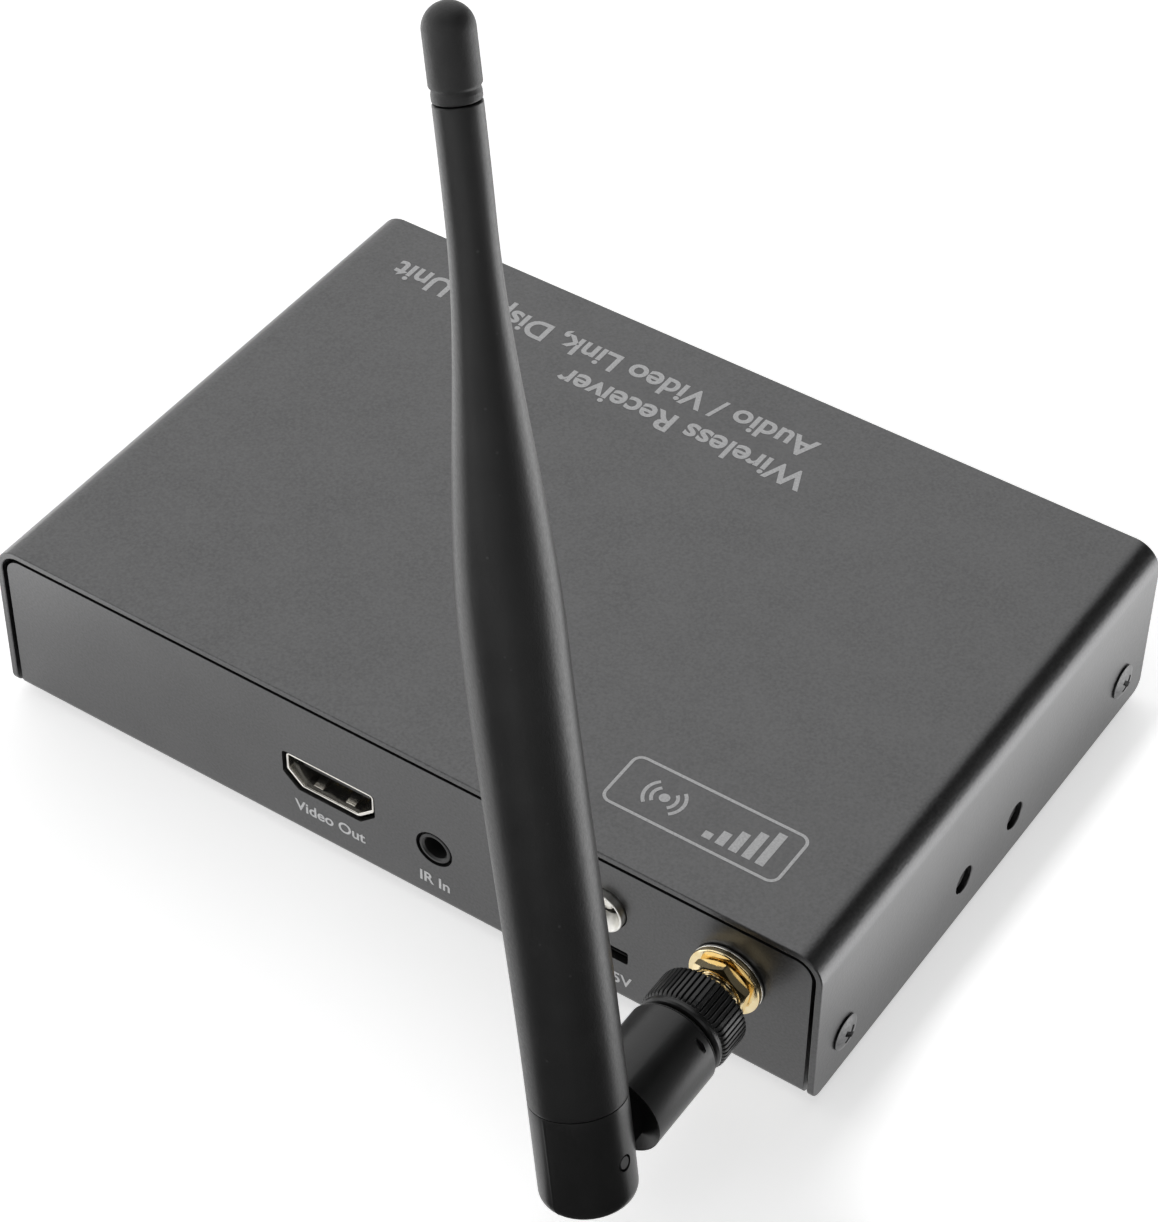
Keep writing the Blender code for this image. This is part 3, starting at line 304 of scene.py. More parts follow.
def soften(piece, width=FINE_EDGE, segments=3, angle=40):
    """Round the piece's sharp edges."""
    edges = piece.modifiers.new("soft_edges", "BEVEL")
    edges.width = width
    edges.segments = segments
    edges.limit_method = "ANGLE"
    edges.angle_limit = math.radians(angle)
    edges.harden_normals = True
    return piece


def dress(piece, finish, body, slot=None, *stands_for):
    """Finish the piece, make it ride on its body, and let it stand for its CAD nodes."""
    piece.data.materials.clear()
    piece.data.materials.append(finish)
    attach(piece, body)
    if stands_for:
        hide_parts(*stands_for)
    return piece


# Materials


class Shade:
    """A Principled material and the procedural nodes that feed it."""

    def __init__(self, name, color, roughness, metallic=0.0, **uniform):
        self.material = bpy.data.materials.new(name)
        self.material.use_nodes = True
        self.tree = self.material.node_tree
        self.shader = self.tree.nodes["Principled BSDF"]
        self.shader.inputs["Base Color"].default_value = (*color, 1)
        self.shader.inputs["Roughness"].default_value = roughness
        self.shader.inputs["Metallic"].default_value = metallic
        for socket, value in uniform.items():
            self.shader.inputs[socket.replace("_", " ")].default_value = value
        self.place = self.add("ShaderNodeTexCoord").outputs["Object"]

    def add(self, kind, **settings):
        made = self.tree.nodes.new(kind)
        for key, value in settings.items():
            setattr(made, key, value)
        return made

    def link(self, source, target):
        self.tree.links.new(source, target)

    def stretched(self, stretch):
        mapping = self.add("ShaderNodeMapping")
        mapping.inputs["Scale"].default_value = stretch
        self.link(self.place, mapping.inputs["Vector"])
        return mapping.outputs["Vector"]

    def noise(self, size, detail=3.0, stretch=(1, 1, 1)):
        """Noise with features of the given size in metres, spread over 0 to 1."""
        texture = self.add("ShaderNodeTexNoise")
        texture.inputs["Scale"].default_value = 1 / size
        texture.inputs["Detail"].default_value = detail
        self.link(self.stretched(stretch), texture.inputs["Vector"])
        return self.spread(texture.outputs["Fac"], 0.3, 0.7)

    def flecks(self, size, amount):
        """Small round specks: 1 at a speck, 0 elsewhere."""
        texture = self.add("ShaderNodeTexVoronoi")
        texture.inputs["Scale"].default_value = 1 / size
        self.link(self.place, texture.inputs["Vector"])
        return self.spread(texture.outputs["Distance"], amount, 0.4 * amount)

    def spread(self, value, low, high, to_low=0.0, to_high=1.0):
        ranged = self.add("ShaderNodeMapRange")
        for socket, number in zip(("From Min", "From Max", "To Min", "To Max"), (low, high, to_low, to_high)):
            ranged.inputs[socket].default_value = number
        self.link(value, ranged.inputs["Value"])
        return ranged.outputs["Result"]

    def math(self, operation, *values):
        """A Math node: each value is a number or another node's output."""
        made = self.add("ShaderNodeMath", operation=operation)
        for socket, value in zip(made.inputs, values):
            if isinstance(value, (int, float)):
                socket.default_value = value
            else:
                self.link(value, socket)
        return made.outputs["Value"]

    def color(self, value, low, high):
        """Base colour from low to high as the value goes from 0 to 1, over what was there before."""
        mix = self.add("ShaderNodeMix", data_type="RGBA")
        socket = self.shader.inputs["Base Color"]
        # a Mix node also holds hidden sockets for its other data types, so these go by number
        factor, first, second, result = mix.inputs[0], mix.inputs[6], mix.inputs[7], mix.outputs[2]
        first.default_value = (*low, 1)
        second.default_value = (*high, 1)
        if socket.is_linked:
            self.link(socket.links[0].from_socket, first)
        self.link(value, factor)
        self.link(result, socket)

    def rough(self, value, low, high):
        self.link(self.spread(value, 0, 1, low, high), self.shader.inputs["Roughness"])

    def bump(self, value, depth):
        """Relief of the given depth in metres, on top of any relief already there."""
        relief = self.add("ShaderNodeBump")
        relief.inputs["Distance"].default_value = depth
        socket = self.shader.inputs["Normal"]
        if socket.is_linked:
            self.link(socket.links[0].from_socket, relief.inputs["Normal"])
        self.link(value, relief.inputs["Height"])
        self.link(relief.outputs["Normal"], socket)


def grey(value):
    """A grey with a trace of blue."""
    return (value, value, value * 1.01)


def case_paint():
    paint = Shade("case_paint_fine", grey(0.11), 0.34, 0.94)
    grain = paint.noise(0.4 * MM, 2)
    mottle = paint.noise(9 * MM)
    paint.color(mottle, grey(0.094), grey(0.105))
    paint.color(paint.spread(grain, 0, 1, 0, 0.55), grey(0.1), grey(0.15))
    paint.rough(grain, 0.3, 0.38)
    paint.bump(grain, 0.009 * MM)
    return paint.material


def moulded_plastic(name, dark, light, smooth, rough, grain_size, relief):
    plastic = Shade(name, dark, smooth)
    grain = plastic.noise(grain_size, 2)
    plastic.color(plastic.noise(14 * grain_size), dark, light)
    plastic.rough(grain, smooth, rough)
    plastic.bump(grain, relief)
    return plastic


def whip_plastic():
    plastic = moulded_plastic("whip_satin", grey(0.009), grey(0.013), 0.34, 0.44, 0.4 * MM, 0.008 * MM)
    plastic.color(plastic.flecks(2.6 * MM, 0.09), grey(0.006), grey(0.03))
    return plastic.material


def rubber(name, shade):
    made = Shade(name, grey(shade), 0.5, Sheen_Weight=0.05, Sheen_Roughness=0.5)
    grain = made.noise(0.25 * MM, 3)
    made.color(made.noise(3 * MM), grey(0.8 * shade), grey(1.3 * shade))
    made.rough(grain, 0.44, 0.58)
    made.bump(grain, 0.01 * MM)
    return made.material


def plated(name, dark, light, smooth, rough, metallic=1.0):
    """Bright plating with faint turning marks and tarnish."""
    plate = Shade(name, light, smooth, metallic)
    plate.color(plate.noise(1.6 * MM), dark, light)
    marks = plate.noise(0.5 * MM, 4, (1, 6, 1))
    plate.rough(marks, smooth, rough)
    plate.bump(marks, 0.002 * MM)
    return plate.material


def board_resist():
    """Solder resist with tracks under it and pale pads."""
    board = Shade("board_resist", (0.01, 0.09, 0.04), 0.3, Coat_Weight=0.4, Coat_Roughness=0.15)
    tracks = board.add("ShaderNodeTexVoronoi", feature="DISTANCE_TO_EDGE")
    tracks.inputs["Scale"].default_value = 1 / (5 * MM)
    tracks.inputs["Randomness"].default_value = 0.8
    board.link(board.place, tracks.inputs["Vector"])
    copper = board.spread(tracks.outputs["Distance"], 0.02, 0.06)
    board.color(board.noise(4 * MM), (0.008, 0.075, 0.034), (0.012, 0.1, 0.045))
    board.color(board.spread(copper, 0, 1, 0.6, 0), (0, 0, 0), (0.02, 0.17, 0.075))
    board.color(board.flecks(2.1 * MM, 0.14), (0, 0, 0), (0.55, 0.52, 0.45))
    board.bump(copper, 0.02 * MM)
    return board.material


def clear_plastic():
    clear = Shade("light_pipe_clear", (0.86, 0.9, 0.9), 0.12, Transmission_Weight=0.85, IOR=1.49)
    haze = clear.noise(0.8 * MM)
    clear.color(haze, (0.8, 0.85, 0.85), (0.9, 0.93, 0.93))
    clear.rough(haze, 0.08, 0.18)
    return clear.material


def print_ink():
    ink = Shade("print_ink", grey(0.55), 0.5)
    weave = ink.noise(0.3 * MM, 2)
    ink.color(weave, grey(0.48), grey(0.64))
    ink.rough(weave, 0.45, 0.6)
    ink.bump(weave, 0.004 * MM)
    return ink.material


def blackened_steel():
    steel = Shade("blackened_steel", grey(0.16), 0.3, 1.0)
    marks = steel.noise(0.4 * MM, 3)
    steel.color(marks, grey(0.1), grey(0.2))
    steel.rough(marks, 0.26, 0.4)
    steel.bump(marks, 0.004 * MM)
    return steel.material


def screw_paint():
    """Painted heads, a little glossier than the case, their tone varying at random."""
    paint = Shade("screw_paint", grey(0.1), 0.34, 0.95)
    marks = paint.noise(0.5 * MM, 3)
    paint.color(marks, grey(0.09), grey(0.16))
    paint.rough(marks, 0.28, 0.42)
    paint.bump(marks, 0.006 * MM)
    return paint.material


PAINT = case_paint()
SCREW_PAINT = screw_paint()
SCREW_STEEL = blackened_steel()
KNUCKLE = moulded_plastic(
    "knuckle_gloss", grey(0.007), grey(0.01), 0.28, 0.36, 0.3 * MM, 0.004 * MM
).material
WHIP_SATIN = whip_plastic()
CAP_RUBBER = rubber("cap_soft", 0.014)
FOOT_RUBBER = rubber("foot_soft", 0.025)
GOLD = plated("gold_bright", (0.86, 0.68, 0.36), (0.98, 0.84, 0.55), 0.08, 0.16)
NICKEL = plated("nickel_bright", (0.7, 0.68, 0.63), (0.86, 0.84, 0.79), 0.12, 0.26)
BRASS = plated("brass_turned", (0.6, 0.45, 0.2), (0.76, 0.6, 0.32), 0.22, 0.36)
SATIN_NICKEL = plated("nickel_satin", (0.8, 0.79, 0.75), (0.9, 0.89, 0.85), 0.28, 0.4)
# painted shade: a copy of the bright nickel darkened to near black, so the service receptacle looks shaded in
# its slot
NICKEL_PAINTED_SHADE = plated("nickel_painted_shade", grey(0.03), grey(0.05), 0.4, 0.55)
TIN = plated("tin_dull", (0.5, 0.5, 0.5), (0.66, 0.66, 0.65), 0.3, 0.45)
ANODISED = plated("black_anodised", grey(0.025), grey(0.045), 0.36, 0.5)
CHIP = moulded_plastic("chip_epoxy", grey(0.016), grey(0.028), 0.5, 0.65, 0.12 * MM, 0.004 * MM).material
INSULATOR = moulded_plastic(
    "insulator_black", grey(0.012), grey(0.018), 0.34, 0.46, 0.2 * MM, 0.003 * MM
).material
WHITE = moulded_plastic(
    "insulator_white", (0.78, 0.77, 0.73), (0.88, 0.87, 0.84), 0.3, 0.42, 0.2 * MM, 0.003 * MM
).material
FINISHES = {
    "case_paint": PAINT,
    "screw_black": SCREW_STEEL,
    "knuckle_plastic": KNUCKLE,
    "whip_plastic": WHIP_SATIN,
    "cap_rubber": CAP_RUBBER,
    "foot_rubber": FOOT_RUBBER,
    "gold_plate": GOLD,
    "nickel_plate": NICKEL,
    "plain_brass": BRASS,
    "tinned_steel": TIN,
    "black_aluminium": ANODISED,
    "board_green": board_resist(),
    "chip_black": CHIP,
    "black_insulator": INSULATOR,
    "white_insulator": WHITE,
    "clear_plastic": clear_plastic(),
}
INK = print_ink()
CASE = "receiver_case"


def finish_nodes():
    """The CAD nodes that stay take the finish of the slot their material is named for."""
    for node in NODES.values():
        for holder in node.material_slots:
            holder.material = FINISHES[holder.material.name]


# Case


def drill(name, radius, length, matrix):
    return prism(name, circle(radius, 48), length, matrix)


def side_drills(screw_r, bracket_r):
    """Drills along X for the screw and bracket holes of both sides."""
    low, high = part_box("cover_screw_1")
    screw_y, hole_z = (low.y + high.y) / 2, (low.z + high.z) / 2
    pairs = ((screw_y, screw_r), (BRACKET_Y, bracket_r))
    holes = [(y * sign, radius) for y, radius in pairs for sign in (-1, 1)]
    drills = []
    for side in (-1, 1):
        for y, radius in holes:
            matrix = axes((side * COVER_HIGH.x, y, hole_z), Y, Z, X)
            drills.append(drill("side_drill", radius, 6 * SHEET, matrix))
    return drills


def make_cover():
    """Roof and two sides from one bent sheet, its lower corners rounded."""
    half, depth, top = COVER_HIGH
    outer = rounded([(-half, 0), (-half, top), (half, top), (half, 0)], COVER_BEND_R, 24)
    inner_half, inner_top = half - SHEET, top - SHEET
    inner_path = [(inner_half, 0), (inner_half, inner_top), (-inner_half, inner_top), (-inner_half, 0)]
    inner = rounded(inner_path, COVER_BEND_R - SHEET, 24)
    cover = prism("cover_sheet", outer + inner, 2 * depth, axes((0, 0, 0), X, Z, -Y))
    over = 2 * top
    profile = [(-depth, 0), (depth, 0), (depth, over), (-depth, over)]
    outline = rounded(profile, [COVER_CORNER_R, COVER_CORNER_R, 0, 0], 10, closed=True)
    combine(cover, "INTERSECT", prism("cover_blank", outline, 4 * half, axes((0, 0, 0), Y, Z, X)))
    cut(cover, *side_drills(SCREW_HOLE_R, BRACKET_R))
    dress(soften(cover, SOFT_COVER_EDGE), PAINT, CASE, "case_paint", "top_cover")


def raise_walls(shape, test, height):
    """Fold up a wall from the floor's open edges that pass the test."""
    rim = [
        edge
        for edge in shape.edges
        if edge.is_boundary and all(test(vert.co) and abs(vert.co.z) < MM / 10 for vert in edge.verts)
    ]
    made = bmesh.ops.extrude_edge_only(shape, edges=rim)
    raised = [item for item in made["geom"] if isinstance(item, bmesh.types.BMVert)]
    bmesh.ops.translate(shape, verts=raised, vec=(0, 0, height))


def make_tray():
    """Floor, front and rear walls and side flanges from one bent sheet."""
    half_x, half_y, height = TRAY_HIGH
    shape = bmesh.new()
    bmesh.ops.create_grid(shape, x_segments=1, y_segments=3, size=0.5)
    bmesh.ops.scale(shape, vec=(2 * half_x, 2 * half_y, 1), verts=shape.verts)
    for vert in shape.verts:
        if abs(vert.co.y) < half_y / 2:
            vert.co.y = math.copysign(FLANGE_HALF, vert.co.y)
    for side in (-1, 1):
        raise_walls(shape, lambda co, side=side: co.y * side > half_y - MM, height)
    for side in (-1, 1):
        raise_walls(
            shape,
            lambda co, side=side: co.x * side > half_x - MM and abs(co.y) < FLANGE_HALF + MM / 2,
            FLANGE_HEIGHT,
        )
    bmesh.ops.recalc_face_normals(shape, faces=shape.faces)
    if sum(face.normal.z for face in shape.faces if abs(face.normal.z) > 0.5) > 0:
        bmesh.ops.reverse_faces(shape, faces=shape.faces)
    corners = [vert for vert in shape.verts if vert.co.z > height - MM]
    corner_r = COVER_BEND_R - (COVER_HIGH.x - TRAY_HIGH.x)
    bmesh.ops.bevel(shape, geom=corners, offset=corner_r, segments=12, profile=0.5, affect="VERTICES")
    bends = [
        edge
        for edge in shape.edges
        if all(abs(vert.co.z) < MM / 10 for vert in edge.verts)
        and len(edge.link_faces) == 2
        and edge.calc_face_angle() > 1
    ]
    bmesh.ops.bevel(shape, geom=bends, offset=TRAY_BEND_R, segments=8, profile=0.5, affect="EDGES")
    mesh = bpy.data.meshes.new("tray_sheet")
    shape.to_mesh(mesh)
    shape.free()
    tray = add_object("tray_sheet", mesh)
    wall = tray.modifiers.new("sheet", "SOLIDIFY")
    wall.thickness = SHEET
    wall.offset = -1
    wall.use_even_offset = True
    settle(tray)
    cut(tray, *side_drills(TRAY_HOLE_R, TRAY_HOLE_R), *panel_cutters(), *foot_seats())
    dress(soften(tray, SOFT_TRAY_EDGE, 2), PAINT, CASE, "case_paint", "base_tray")


def foot_seats():
    """Cutters for the shallow round seats that the feet sit in."""
    seats = []
    for i in range(1, 5):
        middle = middle_of(f"rubber_foot_{i}")
        place = Matrix.Translation((middle.x, middle.y, 0))
        seats.append(drill("seat", FOOT_SEAT_R, 2 * FOOT_SEAT_DEPTH, place))
    return seats


def video_outline(half_width, half_height, corner, steps=4):
    """The video receptacle's outline: square at the top, its lower corners cut, every corner rounded."""
    across, up = VIDEO_CHAMFER
    points = [
        (-half_width, half_height),
        (-half_width, up - half_height),
        (across - half_width, -half_height),
        (half_width - across, -half_height),
        (half_width, up - half_height),
        (half_width, half_height),
    ]
    return rounded(points, corner, steps, closed=True)


def panel_cutters():
    """Cutters for the openings in the connector panel and the front wall."""
    depth = 6 * SHEET
    video, service = middle_of("video_shell"), middle_of("service_port_shell")
    service_outline = rounded(rectangle(*SERVICE_HALF_SIZE), 0.35 * MM, 4, closed=True)
    cutters = [
        prism("cut", video_outline(*VIDEO_HALF_SIZE, 0.6 * MM), depth, flat_out(video.x, video.z, PANEL_Y)),
        prism("cut", service_outline, depth, flat_out(service.x, service.z, PANEL_Y)),
    ]
    button, lamps = middle_of("pairing_button"), [middle_of(f"light_pipe_{i}") for i in (1, 2)]
    holes = [
        (INFRARED_HOLE_R, middle_of("infrared_jack").x, INFRARED_Z, PANEL_Y),
        (POWER_HOLE_R, middle_of("power_socket").x, middle_of("power_pin").z, PANEL_Y),
        (ANTENNA_HOLE_R, HINGE.x, HINGE.z, PANEL_Y),
        (BUTTON_HOLE_R, button.x, button.z, -PANEL_Y),
        *((LAMP_HOLE_R, lamp.x, lamp.z, -PANEL_Y) for lamp in lamps),
    ]
    return cutters + [drill("cut", radius, depth, flat_out(x, z, y)) for radius, x, z, y in holes]


def make_feet():
    """Rubber feet with a rounded rim and a shallow dish under each."""
    for i in range(1, 5):
        low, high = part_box(f"rubber_foot_{i}")
        radius = (high.x - low.x) / 2
        bottom, top = low.z, high.z
        profile = [(0, top), (radius, top), (radius, bottom), (0.62 * radius, bottom)]
        dish = [(0.5 * radius, bottom + 0.45 * MM), (0, bottom + 0.45 * MM)]
        path = rounded(profile + dish, [0, 0.1 * MM, 0.5 * MM, 0.2 * MM, 0.15 * MM, 0], 5)
        place = Matrix.Translation(((low.x + high.x) / 2, (low.y + high.y) / 2, 0))
        foot = turned(f"foot_{i}", path, place, steps=64)
        dress(foot, FOOT_RUBBER, CASE, "foot_rubber", f"rubber_foot_{i}")


HEAD_R = 2.7 * MM
HEAD_HEIGHT = 0.82 * MM
HEAD_CROWN_R = 4.9 * MM
SHANK_R = 1.3 * MM
SHANK_LENGTH = 4.6 * MM
SCREW_PITCH = 0.5 * MM
SCREW_THREAD_DEPTH = 0.18 * MM
# each ring of the cross recess: its wings' reach and half width, and its height from the head's top
RECESS = ((1.75, 0.5, 0.45), (1.5, 0.4, 0), (0.75, 0.26, -0.85))


def cross_cutter(matrix):
    """A cross recess whose wings narrow towards its floor."""
    rings = []
    for long, wide, height in RECESS:
        ring = []
        for quarter in range(4):
            turn = Matrix.Rotation(quarter * math.pi / 2 + math.pi / 4, 2)
            corners = ((long, -wide), (long, wide), (wide, wide))
            ring += [(*(turn @ Vector(corner) * MM), HEAD_HEIGHT + height * MM) for corner in corners]
        rings.append(ring)
    return lofted("cross", rings, matrix)


def screw_thread(radius, height, angle):
    """Turns of thread on the part of the shank above its point."""
    if radius == SHANK_R:
        phase = (height / SCREW_PITCH - angle / math.tau) % 1
        radius -= SCREW_THREAD_DEPTH * abs(2 * phase - 1)
    return round_form(radius, height, angle)


def make_screws():
    """Pan heads with a cross recess and a real thread."""
    flatness = 0.86
    dome = []
    for i in range(11):
        radius = (HEAD_R - 0.12 * MM) * i / 10
        fall = HEAD_CROWN_R - math.sqrt(HEAD_CROWN_R**2 - radius**2)
        dome.append((radius, HEAD_HEIGHT - fall * flatness))
    rows = 48
    thread = [(SHANK_R, -SHANK_LENGTH * (0.04 + 0.84 * i / rows)) for i in range(rows + 1)]
    profile = [*dome, (HEAD_R, 0.18 * MM), (HEAD_R - 0.05 * MM, 0), (0.95 * SHANK_R, 0), *thread]
    profile += [(0.55 * SHANK_R, -SHANK_LENGTH), (0, -SHANK_LENGTH)]
    for i in range(1, 5):
        low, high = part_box(f"cover_screw_{i}")
        side = math.copysign(1, low.x)
        under = side * (COVER_HIGH.x + 0.1 * MM)
        matrix = axes((under, (low.y + high.y) / 2, (low.z + high.z) / 2), Y * side, Z, X * side)
        screw = turned(f"side_screw_{i}", profile, matrix, steps=64, form=screw_thread)
        cut(screw, cross_cutter(matrix))
        dress(screw, SCREW_PAINT, CASE, "screw_black", f"cover_screw_{i}")


# Sockets


def make_video_port():
    """Receptacle shell with a rolled lip, its contact blade and springs."""
    low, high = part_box("video_shell")
    half_x, half_z = (high.x - low.x) / 2, (high.z - low.z) / 2
    wall, corner = 0.38 * MM, 0.7 * MM
    depth = high.y - low.y
    # each ring's inset from the outline, and how far it lies behind the mouth, in millimetres
    lip = [(0, depth / MM), (0, 0.14), (0.05, 0.04), (0.16, 0), (0.26, 0.02), (0.34, 0.1), (0.38, 0.25)]
    lip.append((0.38, depth / MM))
    rings = []
    for inset, behind in lip:
        outline = video_outline(half_x - inset * MM, half_z - inset * MM, corner - inset * MM)
        rings.append([(x, z, behind * MM - high.y) for x, z in outline])
    centre = middle_of("video_shell")
    place = flat_out(centre.x, centre.z, 0)
    dress(lofted("video_receptacle", rings, place, closed=True), NICKEL, CASE, "nickel_plate", "video_shell")
    floor_z = centre.z - half_z + wall
    for i, side in enumerate((-1, 1)):
        x = centre.x + side * 2.7 * MM
        path = ((0.9, 0.02), (2.0, 0.34), (3.0, 0.55), (4.2, 0.4), (5.6, 0.04))
        path = [(high.y - behind * MM, floor_z + lift * MM) for behind, lift in path]
        spring = strip(f"video_spring_{i + 1}", x, 0.75 * MM, path, 0.12 * MM)
        dress(spring, NICKEL, CASE, "nickel_plate")
    tongue_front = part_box("video_tongue")[1].y
    for row, z, count in (("upper", centre.z + 0.98 * MM, 10), ("lower", centre.z - 0.22 * MM, 9)):
        for i in range(count):
            x = centre.x + (i - (count - 1) / 2) * 1.0 * MM
            pad = rounded_box(
                f"video_contact_{row}_{i + 1}",
                (x - 0.2 * MM, low.y + 2.2 * MM, z - 0.02 * MM),
                (x + 0.2 * MM, tongue_front - 2.2 * MM, z + 0.07 * MM),
                0.02 * MM,
            )
            dress(pad, GOLD, CASE, "gold_plate")


def strip(name, x, half_width, path, thickness):
    """A bent flat spring: its path is (y, z) points, its width along X."""
    rings = []
    for y, z in path:
        section = rectangle(half_width, thickness / 2)
        rings.append([(x + across, y, z + up) for across, up in section])
    made = lofted(name, rings)
    return soften(made, 0.03 * MM, 2)


def make_infrared_jack():
    """Jack body with a round nose, its bore and a contact spring inside."""
    low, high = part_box("infrared_jack")
    x = (low.x + high.x) / 2
    place = out_of_panel(x, INFRARED_Z)
    body_front = PANEL_Y - SHEET - 0.2 * MM
    body = rounded_box("jack_body", (low.x, low.y, low.z), (high.x, body_front, high.z), 0.25 * MM)
    bush_r, bore_r = 2.55 * MM, 1.8 * MM
    front = high.y
    nose = [(0, body_front - MM), (bush_r, body_front - MM), (bush_r, front), (0, front)]
    join(body, turned("nose", rounded(nose, [0, 0, 0.22 * MM, 0], 5), place))
    back = front - 11 * MM
    bore = [(0, back), (bore_r, back), (bore_r, front - 0.28 * MM), (bore_r + 0.34 * MM, front + 0.05 * MM)]
    bore += [(bore_r + 0.34 * MM, front + MM), (0, front + MM)]
    cut(body, turned("bore", rounded(bore, [0, 0.3 * MM, 0.15 * MM, 0, 0, 0], 4), place))
    dress(body, INSULATOR, CASE, "black_insulator", "infrared_jack")
    leaf_x = x + bore_r
    path = [(front - 2.6 * MM, 0.05), (front - 4 * MM, -0.35), (front - 6 * MM, -0.5), (front - 8 * MM, 0.0)]
    rings = []
    for y, shift in path:
        edge = leaf_x + shift * MM
        rings.append([(edge, y, INFRARED_Z + dz) for dz in (-0.5 * MM, 0.5 * MM)])
        rings[-1] += [(edge + 0.12 * MM, y, INFRARED_Z + dz) for dz in (0.5 * MM, -0.5 * MM)]
    dress(lofted("jack_contact", rings), NICKEL, CASE, "nickel_plate")


def make_power_socket():
    """Flanged barrel with a rolled mouth, centre pin and a contact leaf."""
    low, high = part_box("power_socket")
    pin_low, pin_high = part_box("power_pin")
    centre_x, centre_z = (low.x + high.x) / 2, (pin_low.z + pin_high.z) / 2
    place = out_of_panel(centre_x, centre_z)
    barrel_r, bore_r, body_r = 3.36 * MM, 2.6 * MM, (high.x - low.x) / 2
    front, back, shoulder = high.y, low.y, PANEL_Y - SHEET - 0.2 * MM
    shell = [(barrel_r, front), (barrel_r, shoulder), (body_r, shoulder), (body_r, back)]
    shell += [(bore_r, back), (bore_r, front - 3.4 * MM), (1.7 * MM, front - 2.2 * MM), (3.1 * MM, front)]
    radii = [0.12 * MM, 0.1 * MM, 0.3 * MM, 0.3 * MM, 0, 0.3 * MM, 0.4 * MM, 0.1 * MM]
    barrel = turned("power_barrel", rounded(shell, radii, 5, closed=True), place, closed=True)
    dress(barrel, SATIN_NICKEL, CASE, "nickel_plate", "power_socket")
    pin_r, core_r = 1.0 * MM, bore_r - 0.1 * MM
    tip = pin_high.y
    pin = [(0, tip), (pin_r, tip), (pin_r, back + 2 * MM), (core_r, back + 2 * MM), (core_r, back), (0, back)]
    pin = turned("power_centre_pin", rounded(pin, [0, 0.8 * MM, 0.2 * MM, 0, 0, 0], 6), place)
    dress(pin, NICKEL, CASE, "nickel_plate", "power_pin")
    leaf = []
    behind_fold = front - 3.6 * MM
    for back_by, reach in ((0, 2.4), (1.2, 2.0), (2.4, 1.75), (4, 2.4)):
        y = behind_fold - back_by * MM
        inner, outer = reach * MM, (reach + 0.14) * MM
        sweep = [math.radians(180 + angle) for angle in (-24, -12, 0, 12, 24)]
        ring = [(centre_x + inner * math.cos(a), y, centre_z + inner * math.sin(a)) for a in sweep]
        ring += [(centre_x + outer * math.cos(a), y, centre_z + outer * math.sin(a)) for a in reversed(sweep)]
        leaf.append(ring)
    dress(lofted("power_contact_leaf", leaf), NICKEL, CASE, "nickel_plate")


def make_service_port():
    """A narrow receptacle shell with a rolled lip, and its contacts."""
    low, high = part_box("service_port_shell")
    centre = middle_of("service_port_shell")
    depth = (high.y - low.y) / MM
    # each ring's half width and height, and how far it lies behind the mouth, in millimetres
    lip = [(4.1, 1.5, depth), (4.1, 1.5, 0.1), (4.0, 1.4, 0), (3.8, 1.2, 0), (3.7, 1.1, 0.15)]
    lip.append((3.7, 1.1, depth))
    rings = []
    for half_x, half_z, behind in lip:
        outline = rounded(rectangle(half_x * MM, half_z * MM), 0.5 * MM, 4, closed=True)
        rings.append([(x, z, behind * MM - high.y) for x, z in outline])
    place = flat_out(centre.x, centre.z, 0)
    shell = lofted("service_receptacle", rings, place, closed=True)
    # painted shade: the receptacle's nickel is a near-black copy of the bright nickel
    dress(shell, NICKEL_PAINTED_SHADE, CASE, "nickel_plate", "service_port_shell")
    for i in range(5):
        x = centre.x + (i - 2) * 0.9 * MM
        top = centre.z + 0.6 * MM
        pad_low = (x - 0.2 * MM, low.y + 1.3 * MM, top)
        pad_high = (x + 0.2 * MM, high.y - 0.9 * MM, top + 0.06 * MM)
        pad = rounded_box(f"service_contact_{i + 1}", pad_low, pad_high, 0.02 * MM)
        dress(pad, GOLD, CASE, "gold_plate")


# Front face


def make_button():
    """A round key with a soft edge and a shallow dish."""
    low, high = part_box("pairing_button")
    radius, collar_r = 2.3 * MM, (high.x - low.x) / 2
    front, back = -low.y, -high.y
    collar_front = PANEL_Y - SHEET - 0.15 * MM
    collar_back = collar_front - 1.0 * MM
    profile = [(0, front - 0.3 * MM), (0.55 * radius, front - 0.18 * MM), (0.8 * radius, front)]
    profile += [(radius, front), (radius, collar_front), (collar_r, collar_front), (collar_r, collar_back)]
    profile += [(radius - 0.8 * MM, collar_back), (radius - 0.8 * MM, back), (0, back)]
    radii = [0, 1.5 * MM, 0.4 * MM, 0.4 * MM, 0.1 * MM, 0.15 * MM, 0.1 * MM, 0.1 * MM, 0.2 * MM, 0]
    place = out_of_front((low.x + high.x) / 2, (low.z + high.z) / 2)
    key = turned("pairing_key", rounded(profile, radii, 5), place)
    dress(key, KNUCKLE, "pairing_button", "knuckle_plastic", "pairing_button")


def make_light_pipes():
    """Clear rods with a domed end in front of the two lamps."""
    for i in (1, 2):
        low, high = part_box(f"light_pipe_{i}")
        radius = (high.x - low.x) / 2
        front, back = -low.y, -high.y
        dome = [(0, front), (0.5 * radius, front - 0.06 * MM), (0.85 * radius, front - 0.25 * MM)]
        profile = rounded([*dome, (radius, front - 0.5 * MM), (radius, back), (0, back)], 0.3 * MM, 4)
        place = out_of_front((low.x + high.x) / 2, (low.z + high.z) / 2)
        pipe = turned(f"lamp_lens_{i}", profile, place, steps=48)
        dress(pipe, FINISHES["clear_plastic"], CASE, "clear_plastic", f"light_pipe_{i}")


# Antenna connector


THREAD_R = 3.17 * MM
THREAD_PITCH = 0.706 * MM
THREAD_DEPTH = 0.3 * MM


